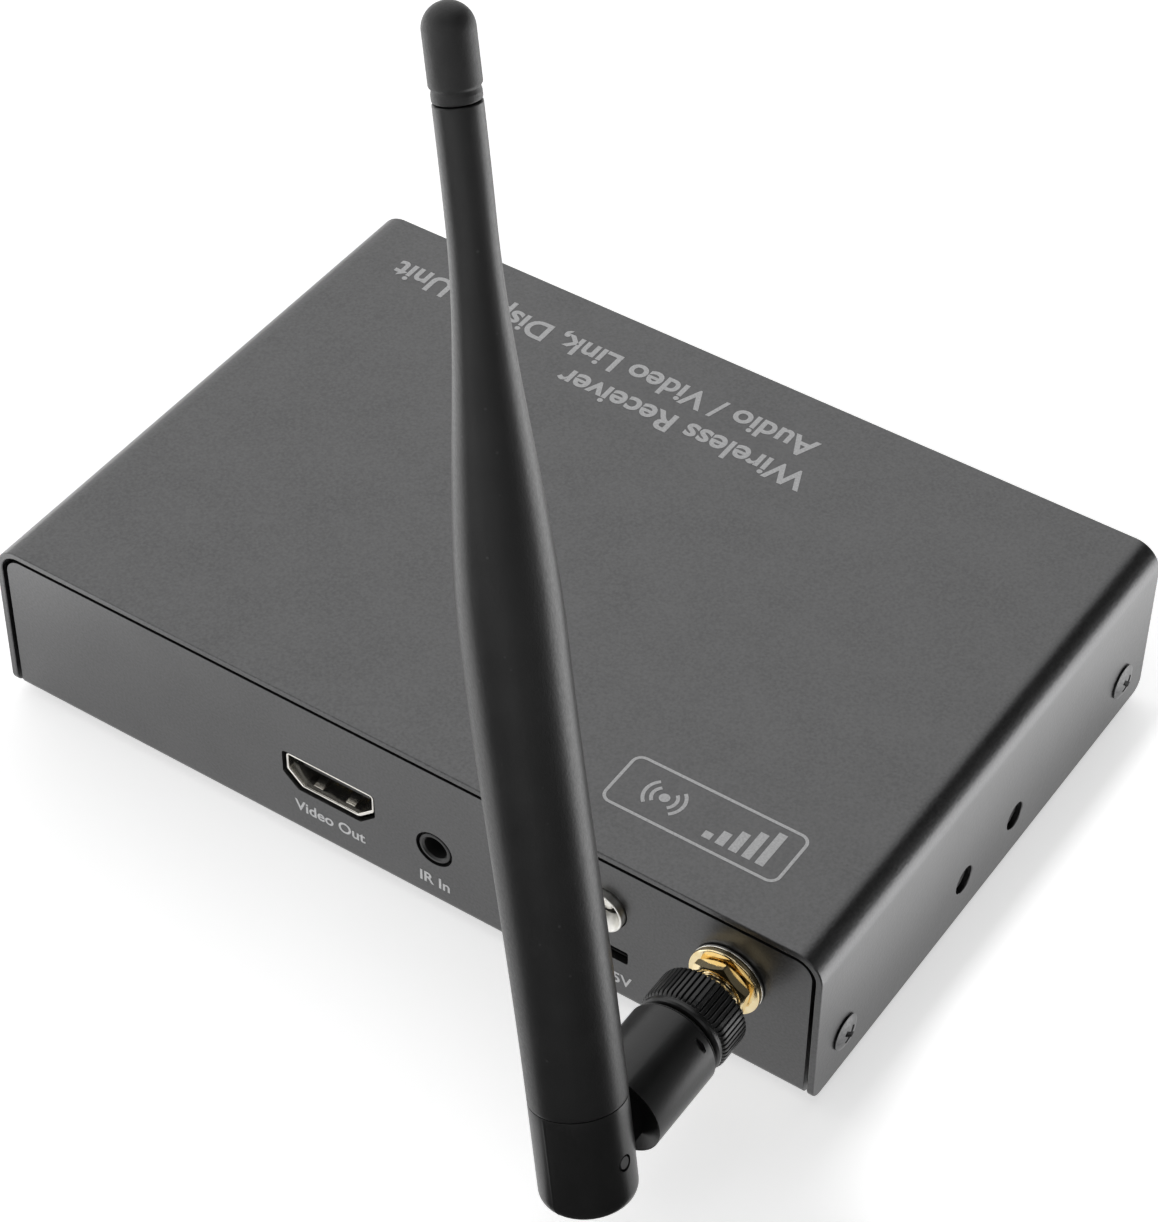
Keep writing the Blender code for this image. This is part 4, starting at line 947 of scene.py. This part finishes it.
def make_bulkhead():
    """The threaded barrel, its thread a real helix outside the panel."""
    low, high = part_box("antenna_bulkhead")
    front, back, collar_r = high.y, low.y, (high.x - low.x) / 2
    collar_front = PANEL_Y - SHEET - COLLAR_GAP
    rows = 150
    start, stop = collar_front + 0.1 * MM, front - 0.35 * MM
    thread = [(THREAD_R, stop + (start - stop) * i / rows) for i in range(rows + 1)]

    def helix(radius, height, angle):
        if radius == THREAD_R:
            phase = (height / THREAD_PITCH - angle / math.tau) % 1
            flank = min(1, 1.25 * abs(2 * phase - 1))
            fade = min(1, (stop - height) / (0.5 * MM), (height - start) / (0.5 * MM))
            radius -= THREAD_DEPTH * (1 - flank) * max(0, fade)
        return round_form(radius, height, angle)

    socket_r, socket_back = 2.3 * MM, PANEL_Y + 1.6 * MM
    mouth = rounded(
        [(0, socket_back), (socket_r, socket_back), (socket_r, front), (THREAD_R - 0.25 * MM, front)],
        [0, 0.1 * MM, 0.1 * MM, 0],
        3,
    )
    tail = [(THREAD_R - 0.02 * MM, collar_front), (collar_r, collar_front), (collar_r, collar_front - 2 * MM)]
    tail += [(2.2 * MM, collar_front - 2 * MM), (2.2 * MM, back), (0, back)]
    tail = rounded(tail, [0, 0.15 * MM, 0.15 * MM, 0.1 * MM, 0.2 * MM, 0], 3)
    barrel = turned("connector_barrel", [*mouth, *thread, *tail], ANTENNA, steps=72, form=helix)
    dress(barrel, GOLD, CASE, "gold_plate", "antenna_bulkhead")


def make_washers():
    """The flat washer, and the lock washer with its twisted teeth."""
    low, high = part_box("bulkhead_washer")
    outer, inner = (high.x - low.x) / 2, 3.4 * MM
    path = [(outer, high.y), (outer, low.y), (inner, low.y), (inner, high.y)]
    path = rounded(path, [0.22 * MM, 0.12 * MM, 0.05 * MM, 0.1 * MM], 5, True)
    washer = turned("flat_washer", path, ANTENNA, True)
    dress(washer, GOLD, CASE, "gold_plate", "bulkhead_washer")
    low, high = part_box("lock_washer")
    teeth = 16

    def twisted(radius, height, angle):
        """The inner edge is cut into teeth, each twisted a little out of the flat."""
        if radius < 4.4 * MM:
            wave = math.sin(teeth * angle)
            radius += 0.35 * MM * max(0, wave)
            height += 0.08 * MM * math.cos(teeth * angle) * (1 if wave < 0 else 0.2)
        return round_form(radius, height, angle)

    path = [(outer, high.y), (outer, low.y), (4.5 * MM, low.y), (inner + 0.1 * MM, low.y + 0.1 * MM)]
    path += [(inner + 0.1 * MM, high.y - 0.1 * MM), (4.5 * MM, high.y)]
    ring = rounded(path, [0.1 * MM, 0.1 * MM, 0, 0.03 * MM, 0.03 * MM, 0], 3, True)
    lock = turned("toothed_lock_washer", ring, ANTENNA, True, 256, twisted)
    dress(lock, NICKEL, CASE, "nickel_plate", "lock_washer")


HEX_CORNER_R = 4.62 * MM
HEX_TURN = 40
HEX_BORE_R = 3.35 * MM
HEX_STEPS = 216
CHAMFER_ANGLE = math.radians(30)


def make_hexagon():
    """A hexagon nut, its corners turned off by a chamfer on both faces."""
    low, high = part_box("bulkhead_nut")
    flat_r = HEX_CORNER_R * math.cos(math.radians(30))
    face_r = 0.955 * flat_r
    shape = bmesh.new()
    rings = [[] for _ in range(8)]
    for i in range(HEX_STEPS):
        angle = math.tau * i / HEX_STEPS
        # local X is world X and local Y is world -Z, so the corner angles run backwards here
        from_corner = (-math.degrees(angle) - HEX_TURN) % 60
        reach = flat_r / math.cos(math.radians(from_corner - 30))
        reach = min(reach, HEX_CORNER_R - 0.06 * MM)
        drop = (reach - face_r) * math.tan(CHAMFER_ANGLE)
        places = (
            (HEX_BORE_R, low.y + 0.2 * MM),
            (HEX_BORE_R + 0.2 * MM, low.y),
            (face_r, low.y),
            (reach, low.y + drop),
            (reach, high.y - drop),
            (face_r, high.y),
            (HEX_BORE_R + 0.25 * MM, high.y),
            (HEX_BORE_R, high.y - 0.25 * MM),
        )
        for ring, (radius, height) in zip(rings, places):
            ring.append(shape.verts.new(round_form(radius, height, angle)))
    for first, second in zip(rings, rings[1:] + rings[:1]):
        bridge(shape, first, second)
    nut = add_object("hexagon_nut", mesh_of("hexagon_nut", shape), ANTENNA)
    nut.data.set_sharp_from_angle(angle=math.radians(14))
    dress(nut, GOLD, CASE, "gold_plate", "bulkhead_nut")


NUT_RIBS = 54
# points of one rib's outline: their share of its turn and of its height
RIB_SHAPE = ((0, 0), (0.06, 0), (0.19, 0.86), (0.26, 1), (0.5, 1), (0.8, 1), (0.87, 0.86))


def make_coupling_nut():
    """A ribbed ring. The ribs start at its open end and stop short of its smooth, rounded shoulder."""
    low, high = (corner.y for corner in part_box("coupling_nut"))
    core_r, rib_r, bore_r, rear_bore_r, mouth_r = 5.98 * MM, 6.4 * MM, 3.4 * MM, 2.65 * MM, 4.9 * MM
    shoulder, seat = high - 1.15 * MM, high - 2.0 * MM
    rows = (0.03, 0.1, 0.2, 0.4, 0.6, 0.8, 0.9, 0.96, 1.0)
    ribbed = [(core_r, low + (shoulder - low) * share) for share in rows]
    lip = ((0, 1.0), (0.12, 0.85), (0.12, 0.45), (-0.05, 0.15), (-0.35, 0))
    lip = [(core_r + out * MM, high - below * MM) for out, below in lip]
    back = [(rear_bore_r, high), (rear_bore_r, seat), (bore_r, seat), (bore_r, low + 0.35 * MM)]
    front = [(bore_r + 0.35 * MM, low), (mouth_r, low), (core_r - 0.2 * MM, low)]

    def ribs(radius, height, angle):
        """Each rib takes a fixed share of the turn: a narrow groove, a flank, a flat crest, a flank."""
        rib, step = divmod(round(angle / math.tau * NUT_RIBS * len(RIB_SHAPE)), len(RIB_SHAPE))
        share, tooth = RIB_SHAPE[step]
        angle = math.tau * (rib + share) / NUT_RIBS
        if radius == core_r and height <= shoulder:
            fade = min(1, (shoulder - height) / (0.3 * MM), 0.3 + (height - low) / (0.3 * MM))
            radius += (rib_r - core_r) * tooth * max(0, fade)
        return round_form(radius, height, angle)

    profile = [*ribbed, *lip, *back, *front]
    nut = turned("ribbed_nut", profile, ANTENNA, True, NUT_RIBS * len(RIB_SHAPE), ribs)
    nut.data.set_sharp_from_angle(angle=math.radians(24))
    dress(nut, KNUCKLE, "coupling_nut", "knuckle_plastic", "coupling_nut")


# Knuckle and whip


PIN_HOLE_R = 1.12 * MM
PIN_HOLE_LOW, PIN_HOLE_HIGH = -9 * MM, 5.2 * MM
TONGUE_R = 4.2 * MM
TONGUE_HALF = 2.0 * MM
TONGUE_GAP = 0.2 * MM
BASE_R = 6.2 * MM
BASE_BELOW = 7.1 * MM
BASE_TOP = 7.8 * MM
BASE_FILLET_R = 2.4 * MM
SPIGOT_R = 4.7 * MM
SPIGOT_TOP = 17 * MM
ELBOW_R = 6.4 * MM
ELBOW_START = 12.6 * MM
ELBOW_DISH_R = 9.4 * MM
ELBOW_BORE_R = 2.7 * MM
ELBOW_BORE_DEPTH = 5 * MM


def make_elbow():
    """A round arm with a dished end, relieved for the whip that leans over it, and a tongue."""
    start = PANEL_Y + ELBOW_START - HINGE.y
    rim = math.degrees(math.asin(ELBOW_R / ELBOW_DISH_R))
    dish = arc((0, 0), ELBOW_DISH_R, -90, rim - 90, 24)
    rim_height = dish[-1][1]
    outside = [(ELBOW_R, start + 0.75 * MM), (ELBOW_R - 0.22 * MM, start + 0.62 * MM)]
    outside += [(ELBOW_R - 0.22 * MM, start + 0.5 * MM), (ELBOW_R - 0.1 * MM, start + 0.42 * MM)]
    outside += [(ELBOW_R - 0.5 * MM, start)]
    edge = rounded([dish[-2], (ELBOW_R, rim_height), outside[0]], 0.28 * MM, 6)
    bore_end = start + ELBOW_BORE_DEPTH
    bore = [(ELBOW_BORE_R, start), (ELBOW_BORE_R, bore_end), (0, bore_end)]
    radii = [0.1 * MM, 0.04 * MM, 0.04 * MM, 0.2 * MM, 0.25 * MM, 0.1 * MM, 0, 0]
    lower = rounded([*outside, *bore], radii, 4)
    elbow = turned("elbow_arm", [*dish[:-2], *edge, *lower], ARM, steps=128)
    relief = prism("relief", circle(BASE_R + 0.3 * MM), 20 * MM, WHIP @ Matrix.Translation((0, 0, 11 * MM)))
    root = 11 * MM
    outline = [*arc((0, 0), TONGUE_R, -90, 90, 40), (-root, TONGUE_R), (-root, -TONGUE_R)]
    tongue = prism("tongue", outline, 2 * TONGUE_HALF, axes(HINGE, OUT, UP_ARM, PIN_AXIS))
    cut(elbow, relief)
    join(elbow, tongue)
    mark_place = ARM @ Matrix.Rotation(math.radians(-155), 4, "Z")
    mark_place @= Matrix.Translation((ELBOW_R, 0, start + 1.9 * MM)) @ Matrix.Diagonal((0.7, 1.5, 0.6, 1))
    mark_path = [(0, 0.75 * MM), (0.75 * MM, 0.4 * MM), (0.75 * MM, -0.4 * MM), (0, -0.75 * MM)]
    cut(elbow, pin_cutter(OUT, UP_ARM), turned("mark", mark_path, mark_place, steps=24))
    dress(soften(elbow, 0.1 * MM, 2, 50), KNUCKLE, "antenna_elbow", "knuckle_plastic", "antenna_elbow")


def make_whip_base():
    """A full round base with a mould line down each side and a slot for the tongue."""
    fillet = arc((BASE_R - BASE_FILLET_R, BASE_FILLET_R - BASE_BELOW), BASE_FILLET_R, 0, -90, 14)
    wall = [(BASE_R, BASE_TOP - 0.25 * MM - (BASE_TOP + 4.4 * MM) * i / 8) for i in range(9)]
    profile = [(0, SPIGOT_TOP), (SPIGOT_R - 0.3 * MM, SPIGOT_TOP), (SPIGOT_R, SPIGOT_TOP - 0.3 * MM)]
    profile += [(SPIGOT_R, BASE_TOP), (BASE_R - 0.12 * MM, BASE_TOP)]
    profile += [(BASE_R - 0.03 * MM, BASE_TOP - 0.05 * MM), *wall, *fillet, (0, -BASE_BELOW)]
    seams = (math.radians(84), math.radians(264))

    def seamed(radius, height, angle):
        if radius > 0.6 * BASE_R and height < BASE_TOP - 0.2 * MM:
            for seam in seams:
                away = abs((angle - seam + math.pi) % math.tau - math.pi) * radius
                radius += 0.045 * MM * max(0, 1 - away / (0.17 * MM))
        return round_form(radius, height, angle)

    base = turned("whip_foot", profile, WHIP, steps=240, form=seamed)
    cut(base, slot_cutter(), pin_cutter(WHIP_SIDE, WHIP_AXIS))
    dress(soften(base, 0.07 * MM, 2, 50), KNUCKLE, "antenna_whip", "knuckle_plastic", "whip_base")


def pin_cutter(side, up):
    """The hinge pin's hole, open at one end. Its facets are turned to the given directions."""
    centre = HINGE + PIN_AXIS * (PIN_HOLE_LOW + PIN_HOLE_HIGH) / 2
    length = PIN_HOLE_HIGH - PIN_HOLE_LOW
    return drill("pin_hole", PIN_HOLE_R, length, axes(centre, side, up, PIN_AXIS))


def slot_cutter():
    """The slot for the tongue from straight to fully folded: open below and behind, closed in front."""
    radius = TONGUE_R + TONGUE_GAP
    reach = 14 * MM
    inside = arc((0, 0), radius, 0, 90 - math.degrees(LEAN), 24)
    top_y, top_z = inside[-1]
    outline = [*inside, (top_y - reach, top_z + reach * math.tan(LEAN))]
    outline += [(top_y - reach, -reach), (radius, -reach)]
    width = 2 * (TONGUE_HALF + TONGUE_GAP)
    return prism("slot", outline, width, axes(HINGE, WHIP_SIDE, WHIP_AXIS, PIN_AXIS))


TAPER = (68.5 * MM, 118.5 * MM)
SHAFT_R = 2.8 * MM
WALL = 1.3 * MM
CAP_START = 132.3 * MM
CAP_R = 2.95 * MM
WHIP_TOP = 143.0 * MM
COVER_START = BASE_TOP + 0.04 * MM
COVER_END = CAP_START - 0.15 * MM
BOW = 1.3 * MM


def whip_radius(height):
    """Full near the base, a smooth neck, then a slim shaft."""
    share = min(1, max(0, (height - TAPER[0]) / (TAPER[1] - TAPER[0])))
    ease = share * share * (3 - 2 * share)
    return BASE_R + (SHAFT_R - BASE_R) * ease


def bowed(radius, height, angle):
    """The moulded cover is slightly bowed between its two ends."""
    share = min(1, max(0, (height - COVER_START) / (COVER_END - COVER_START)))
    lean = BOW * math.sin(math.pi * share) ** 2
    return round_form(radius, height, angle) + Vector((lean, 0, 0))


def make_whip_cover():
    """The tapered sleeve, hollow to its end."""
    low, high = COVER_START, COVER_END
    rows = 60
    heights = [low + 0.4 * MM + (high - low - 0.8 * MM) * i / rows for i in range(rows + 1)]
    bore_r = SPIGOT_R + 0.2 * MM
    bottom = [(BASE_R - inset * MM, low + up * MM) for inset, up in ((0.01, 0.12), (0.07, 0.03), (0.16, 0))]
    top = [(SHAFT_R - inset * MM, high - down * MM) for inset, down in ((0.3, 0), (0.1, 0.04), (0.01, 0.16))]
    outside = [(whip_radius(z), z) for z in reversed(heights)]
    inside = [(min(bore_r, whip_radius(z) - WALL), z) for z in heights[::2]]
    profile = [*top, *outside, *bottom, (bore_r, low), *inside, (SHAFT_R - WALL, high)]
    cover = turned("whip_sleeve", profile, WHIP, True, 128, bowed)
    dress(cover, WHIP_SATIN, "antenna_whip", "whip_plastic", "whip_cover")


def make_cap():
    """A rubber cap with a round end, its rolled lower edge over a narrow neck."""
    dome = [(x, WHIP_TOP - CAP_R + z) for z, x in arc((0, 0), CAP_R, 0, 90, 15)]
    plug_r = SHAFT_R - WALL - 0.2 * MM
    skirt = rounded(
        [
            dome[-1],
            (CAP_R, CAP_START + 1.75 * MM),
            (CAP_R - 0.28 * MM, CAP_START + 1.4 * MM),
            (CAP_R - 0.16 * MM, CAP_START + 0.9 * MM),
            (CAP_R - 0.16 * MM, CAP_START),
            (CAP_R - 0.75 * MM, CAP_START),
            (plug_r, CAP_START),
            (plug_r, CAP_START - 5 * MM),
            (0, CAP_START - 5 * MM),
        ],
        [0, 0.35 * MM, 0.15 * MM, 0.2 * MM, 0.25 * MM, 0.1 * MM, 0.1 * MM, 0.3 * MM, 0],
        6,
    )
    cap = turned("cap_moulding", [*dome, *skirt[1:]], WHIP)
    dress(cap, CAP_RUBBER, "antenna_whip", "cap_rubber", "tip_cap")


# Prints


INK_LIFT = 0.012 * MM
INK_DEPTH = 0.016 * MM
CAPITAL_SHARE = 0.73


def stamp(name, shapes, matrix):
    """Flat shapes in light ink, a hair above the surface at the matrix's local Z = 0."""
    outline = bpy.data.curves.new(name, "CURVE")
    outline.dimensions = "2D"
    outline.fill_mode = "BOTH"
    outline.extrude = INK_DEPTH / 2
    for shape in shapes:
        spline = outline.splines.new("POLY")
        spline.points.add(len(shape) - 1)
        for point, (x, y) in zip(spline.points, shape):
            point.co = (x, y, 0, 1)
        spline.use_cyclic_u = True
    return inked(name, outline, matrix)


def inked(name, data, matrix):
    lifted = matrix @ Matrix.Translation((0, 0, INK_LIFT + INK_DEPTH / 2))
    drawn = add_object(name, data, lifted)
    bpy.context.view_layer.update()
    mesh = bpy.data.meshes.new_from_object(drawn.evaluated_get(bpy.context.evaluated_depsgraph_get()))
    bpy.data.objects.remove(drawn, do_unlink=True)
    shape = bmesh.new()
    shape.from_mesh(mesh)
    bmesh.ops.remove_doubles(shape, verts=shape.verts, dist=0.0005 * MM)
    bmesh.ops.recalc_face_normals(shape, faces=shape.faces)
    shape.to_mesh(mesh)
    shape.free()
    return dress(add_object(name, mesh, lifted), INK, CASE)


def lettering(name, words, height, matrix, bold=0.0):
    """Plain words in the program's own typeface, centred, capitals of the given height."""
    text = bpy.data.curves.new(name, "FONT")
    text.body = words
    text.size = height / CAPITAL_SHARE
    text.offset = bold
    text.align_x = "CENTER"
    text.align_y = "CENTER"
    text.extrude = INK_DEPTH / 2
    text.resolution_u = 6
    return inked(name, text, matrix)


def ring_arc(centre, radius, width, start, end):
    """A curved bar with square ends."""
    outer = arc(centre, radius + width / 2, start, end, 24)
    inner = arc(centre, radius - width / 2, end, start, 24)
    return outer + inner


def make_lid_prints():
    """Two lines of plain words, read from the front, and a boxed radio sign, read from the back."""
    top = COVER_HIGH.z
    lines = (
        ("title_line_1", "Wireless Receiver", 2, -29),
        ("title_line_2", "Audio / Video Link, Display Unit", 20.3, -35.6),
    )
    for name, words, x, y in lines:
        lettering(name, words, 4.1 * MM, Matrix.Translation((x * MM, y * MM, top)), 0.13 * MM)
    sign = axes((-41.6 * MM, 32.9 * MM, top), -X, -Y, Z)
    half_x, half_y, line = 13.4 * MM, 4.75 * MM, 0.45 * MM
    outer = rounded(rectangle(half_x, half_y), 1.6 * MM, 6, closed=True)
    inner = rounded(rectangle(half_x - line, half_y - line), 1.6 * MM - line, 6, closed=True)
    dot_x = -6.2 * MM
    shapes = [outer, inner, [(x + dot_x, y) for x, y in circle(0.75 * MM, 32)]]
    for radius in (1.75 * MM, 2.85 * MM):
        for start in (-48, 132):
            shapes.append(ring_arc((dot_x, 0), radius, 0.5 * MM, start, start + 96))
    for i in range(5):
        left, right = (1.2 + 2.0 * i) * MM, (2.45 + 2.0 * i) * MM
        foot, top_of_bar = -2.9 * MM, (1.25 * i - 1.7) * MM
        shapes.append([(left, foot), (right, foot), (right, top_of_bar), (left, top_of_bar)])
    stamp("radio_sign", shapes, sign)


def make_panel_prints():
    """Plain port labels under their openings, read from behind the panel."""
    labels = (
        ("label_video", "Video Out", middle_of("video_shell").x, 5.3),
        ("label_infrared", "IR In", middle_of("infrared_jack").x, 4.2),
        ("label_power", "DC 5V", middle_of("service_port_shell").x - 0.6 * MM, 4.0),
    )
    for name, words, x, z in labels:
        lettering(name, words, 2.0 * MM, axes((x, PANEL_Y, z * MM), -X, Z, Y), 0.05 * MM)


# Stage, light and camera


FLOOR_SIDE = 6
FLAG_NEAR, FLAG_FAR = 98 * MM, 700 * MM
TOWARDS_CAMERA = Vector((-0.551, 0.835, 0))
ACROSS_CAMERA = Vector((0.835, 0.551, 0))


def sheet_below(name, finish, place, low, high):
    """A flat stage piece, from low to high along its local Y and FLOOR_SIDE wide."""
    shape = bmesh.new()
    reach = FLOOR_SIDE / 2
    corners = ((-reach, low), (reach, low), (reach, high), (-reach, high))
    shape.faces.new(shape.verts.new((x, y, 0)) for x, y in corners)
    made = add_object(name, mesh_of(name, shape, smooth=False), place)
    made.data.materials.append(finish.material)
    return made


def make_floor():
    """A white floor that glows, more so where the case's -X side and the panel's far end mirror it."""
    white = Shade("floor_white", (0.9, 0.9, 0.9), 0.9, Emission_Color=(1, 1, 1, 1))
    white.color(white.noise(40 * MM), (0.89, 0.89, 0.89), (0.91, 0.91, 0.91))
    parts = white.add("ShaderNodeSeparateXYZ")
    white.link(white.place, parts.inputs["Vector"])
    beside = white.spread(parts.outputs["X"], -71 * MM, -100 * MM, 0, 2.3)
    behind = white.spread(parts.outputs["Y"], 20 * MM, 60 * MM, 1, 0)
    along_y = white.math("MULTIPLY", parts.outputs["Y"], 0.652)
    leftwards = white.math("MULTIPLY_ADD", parts.outputs["X"], 0.758, along_y)
    outside = white.spread(leftwards, 90 * MM, 120 * MM, 0.55, 1.6)
    white.link(white.math("MULTIPLY_ADD", beside, behind, outside), white.shader.inputs["Emission Strength"])
    place = Matrix.Translation((0, 0, CAD_BOX[0].z))
    sheet_below("floor", white, place, -FLOOR_SIDE / 2, FLOOR_SIDE / 2)


def make_flag():
    """A photographer's black card on the camera's side, out of the picture, which the whip's middle mirrors.

    Only glossy reflections see it.
    """
    black = Shade("flag_black", (0.02, 0.02, 0.02), 0.9, Emission_Color=(1, 1, 1, 1))
    parts = black.add("ShaderNodeSeparateXYZ")
    black.link(black.place, parts.inputs["Vector"])
    glow = black.spread(parts.outputs["Y"], 400 * MM, FLAG_FAR, 0.03, 0.7)
    black.link(glow, black.shader.inputs["Emission Strength"])
    place = axes(Z * (CAD_BOX[0].z + 2 * MM), ACROSS_CAMERA, TOWARDS_CAMERA, Z)
    card = sheet_below("flag", black, place, FLAG_NEAR, FLAG_FAR)
    card.visible_camera = False
    card.visible_diffuse = False
    card.visible_shadow = False


def direction(azimuth, elevation):
    """Angles in degrees. Azimuth is from +X towards +Y."""
    a, e = math.radians(azimuth), math.radians(elevation)
    return Vector((math.cos(a) * math.cos(e), math.sin(a) * math.cos(e), math.sin(e)))


def softbox(name, azimuth, elevation, distance, width, height, brightness):
    """An area light of even brightness, aimed at the object."""
    away = direction(azimuth, elevation)
    lamp = bpy.data.lights.new(name, "AREA")
    lamp.shape = "RECTANGLE"
    lamp.size = width
    lamp.size_y = height
    lamp.energy = brightness * math.pi * width * height
    made = add_object(name, lamp)
    made.location = away * distance
    made.rotation_mode = "QUATERNION"
    made.rotation_quaternion = away.to_track_quat("Z", "Y")


def make_light():
    world = bpy.data.worlds.new("room")
    bpy.context.scene.world = world
    world.use_nodes = True
    backdrop = world.node_tree.nodes["Background"]
    backdrop.inputs["Color"].default_value = (1, 1, 1, 1)
    backdrop.inputs["Strength"].default_value = 0.03
    softbox("back_box", -38, 42, 1.6, 3.0, 2.3, 1.18)
    softbox("left_box", 44, 20, 1.6, 2.2, 1.3, 1.05)
    softbox("top_box", 90, 80, 1.9, 0.9, 0.9, 1.0)
    softbox("rear_box", 118, 34, 1.6, 1.8, 0.7, 0.8)
    softbox("side_box", 196, 24, 1.6, 1.1, 0.9, 0.14)


def make_camera():
    """The camera stands behind the connector panel, to the antenna's side, looking down."""
    roll = math.radians(-0.75)
    target, distance = Vector((0.54 * MM, -0.97 * MM, 13.5 * MM)), 493.0 * MM
    away = direction(123.43, 44.34)
    right = (-away).cross(Z).normalized()
    down = (-away).cross(right)
    across = math.cos(roll) * right + math.sin(roll) * down
    below = math.cos(roll) * down - math.sin(roll) * right
    lens = bpy.data.cameras.new("camera")
    lens.sensor_fit = "VERTICAL"
    lens.sensor_height = 36
    lens.sensor_width = 36
    lens.lens = 102.73
    lens.clip_start = 10 * MM
    camera = add_object("camera", lens, axes(target + away * distance, across, -below, away))
    bpy.context.scene.camera = camera


def make_all():
    make_camera()
    finish_nodes()
    make_cover()
    make_tray()
    make_feet()
    make_screws()
    make_video_port()
    make_infrared_jack()
    make_power_socket()
    make_service_port()
    make_button()
    make_light_pipes()
    make_bulkhead()
    make_washers()
    make_hexagon()
    make_coupling_nut()
    make_elbow()
    make_whip_base()
    make_whip_cover()
    make_cap()
    make_lid_prints()
    make_panel_prints()
    make_floor()
    make_flag()
    make_light()
    bpy.context.scene.view_settings.view_transform = "Standard"


make_all()
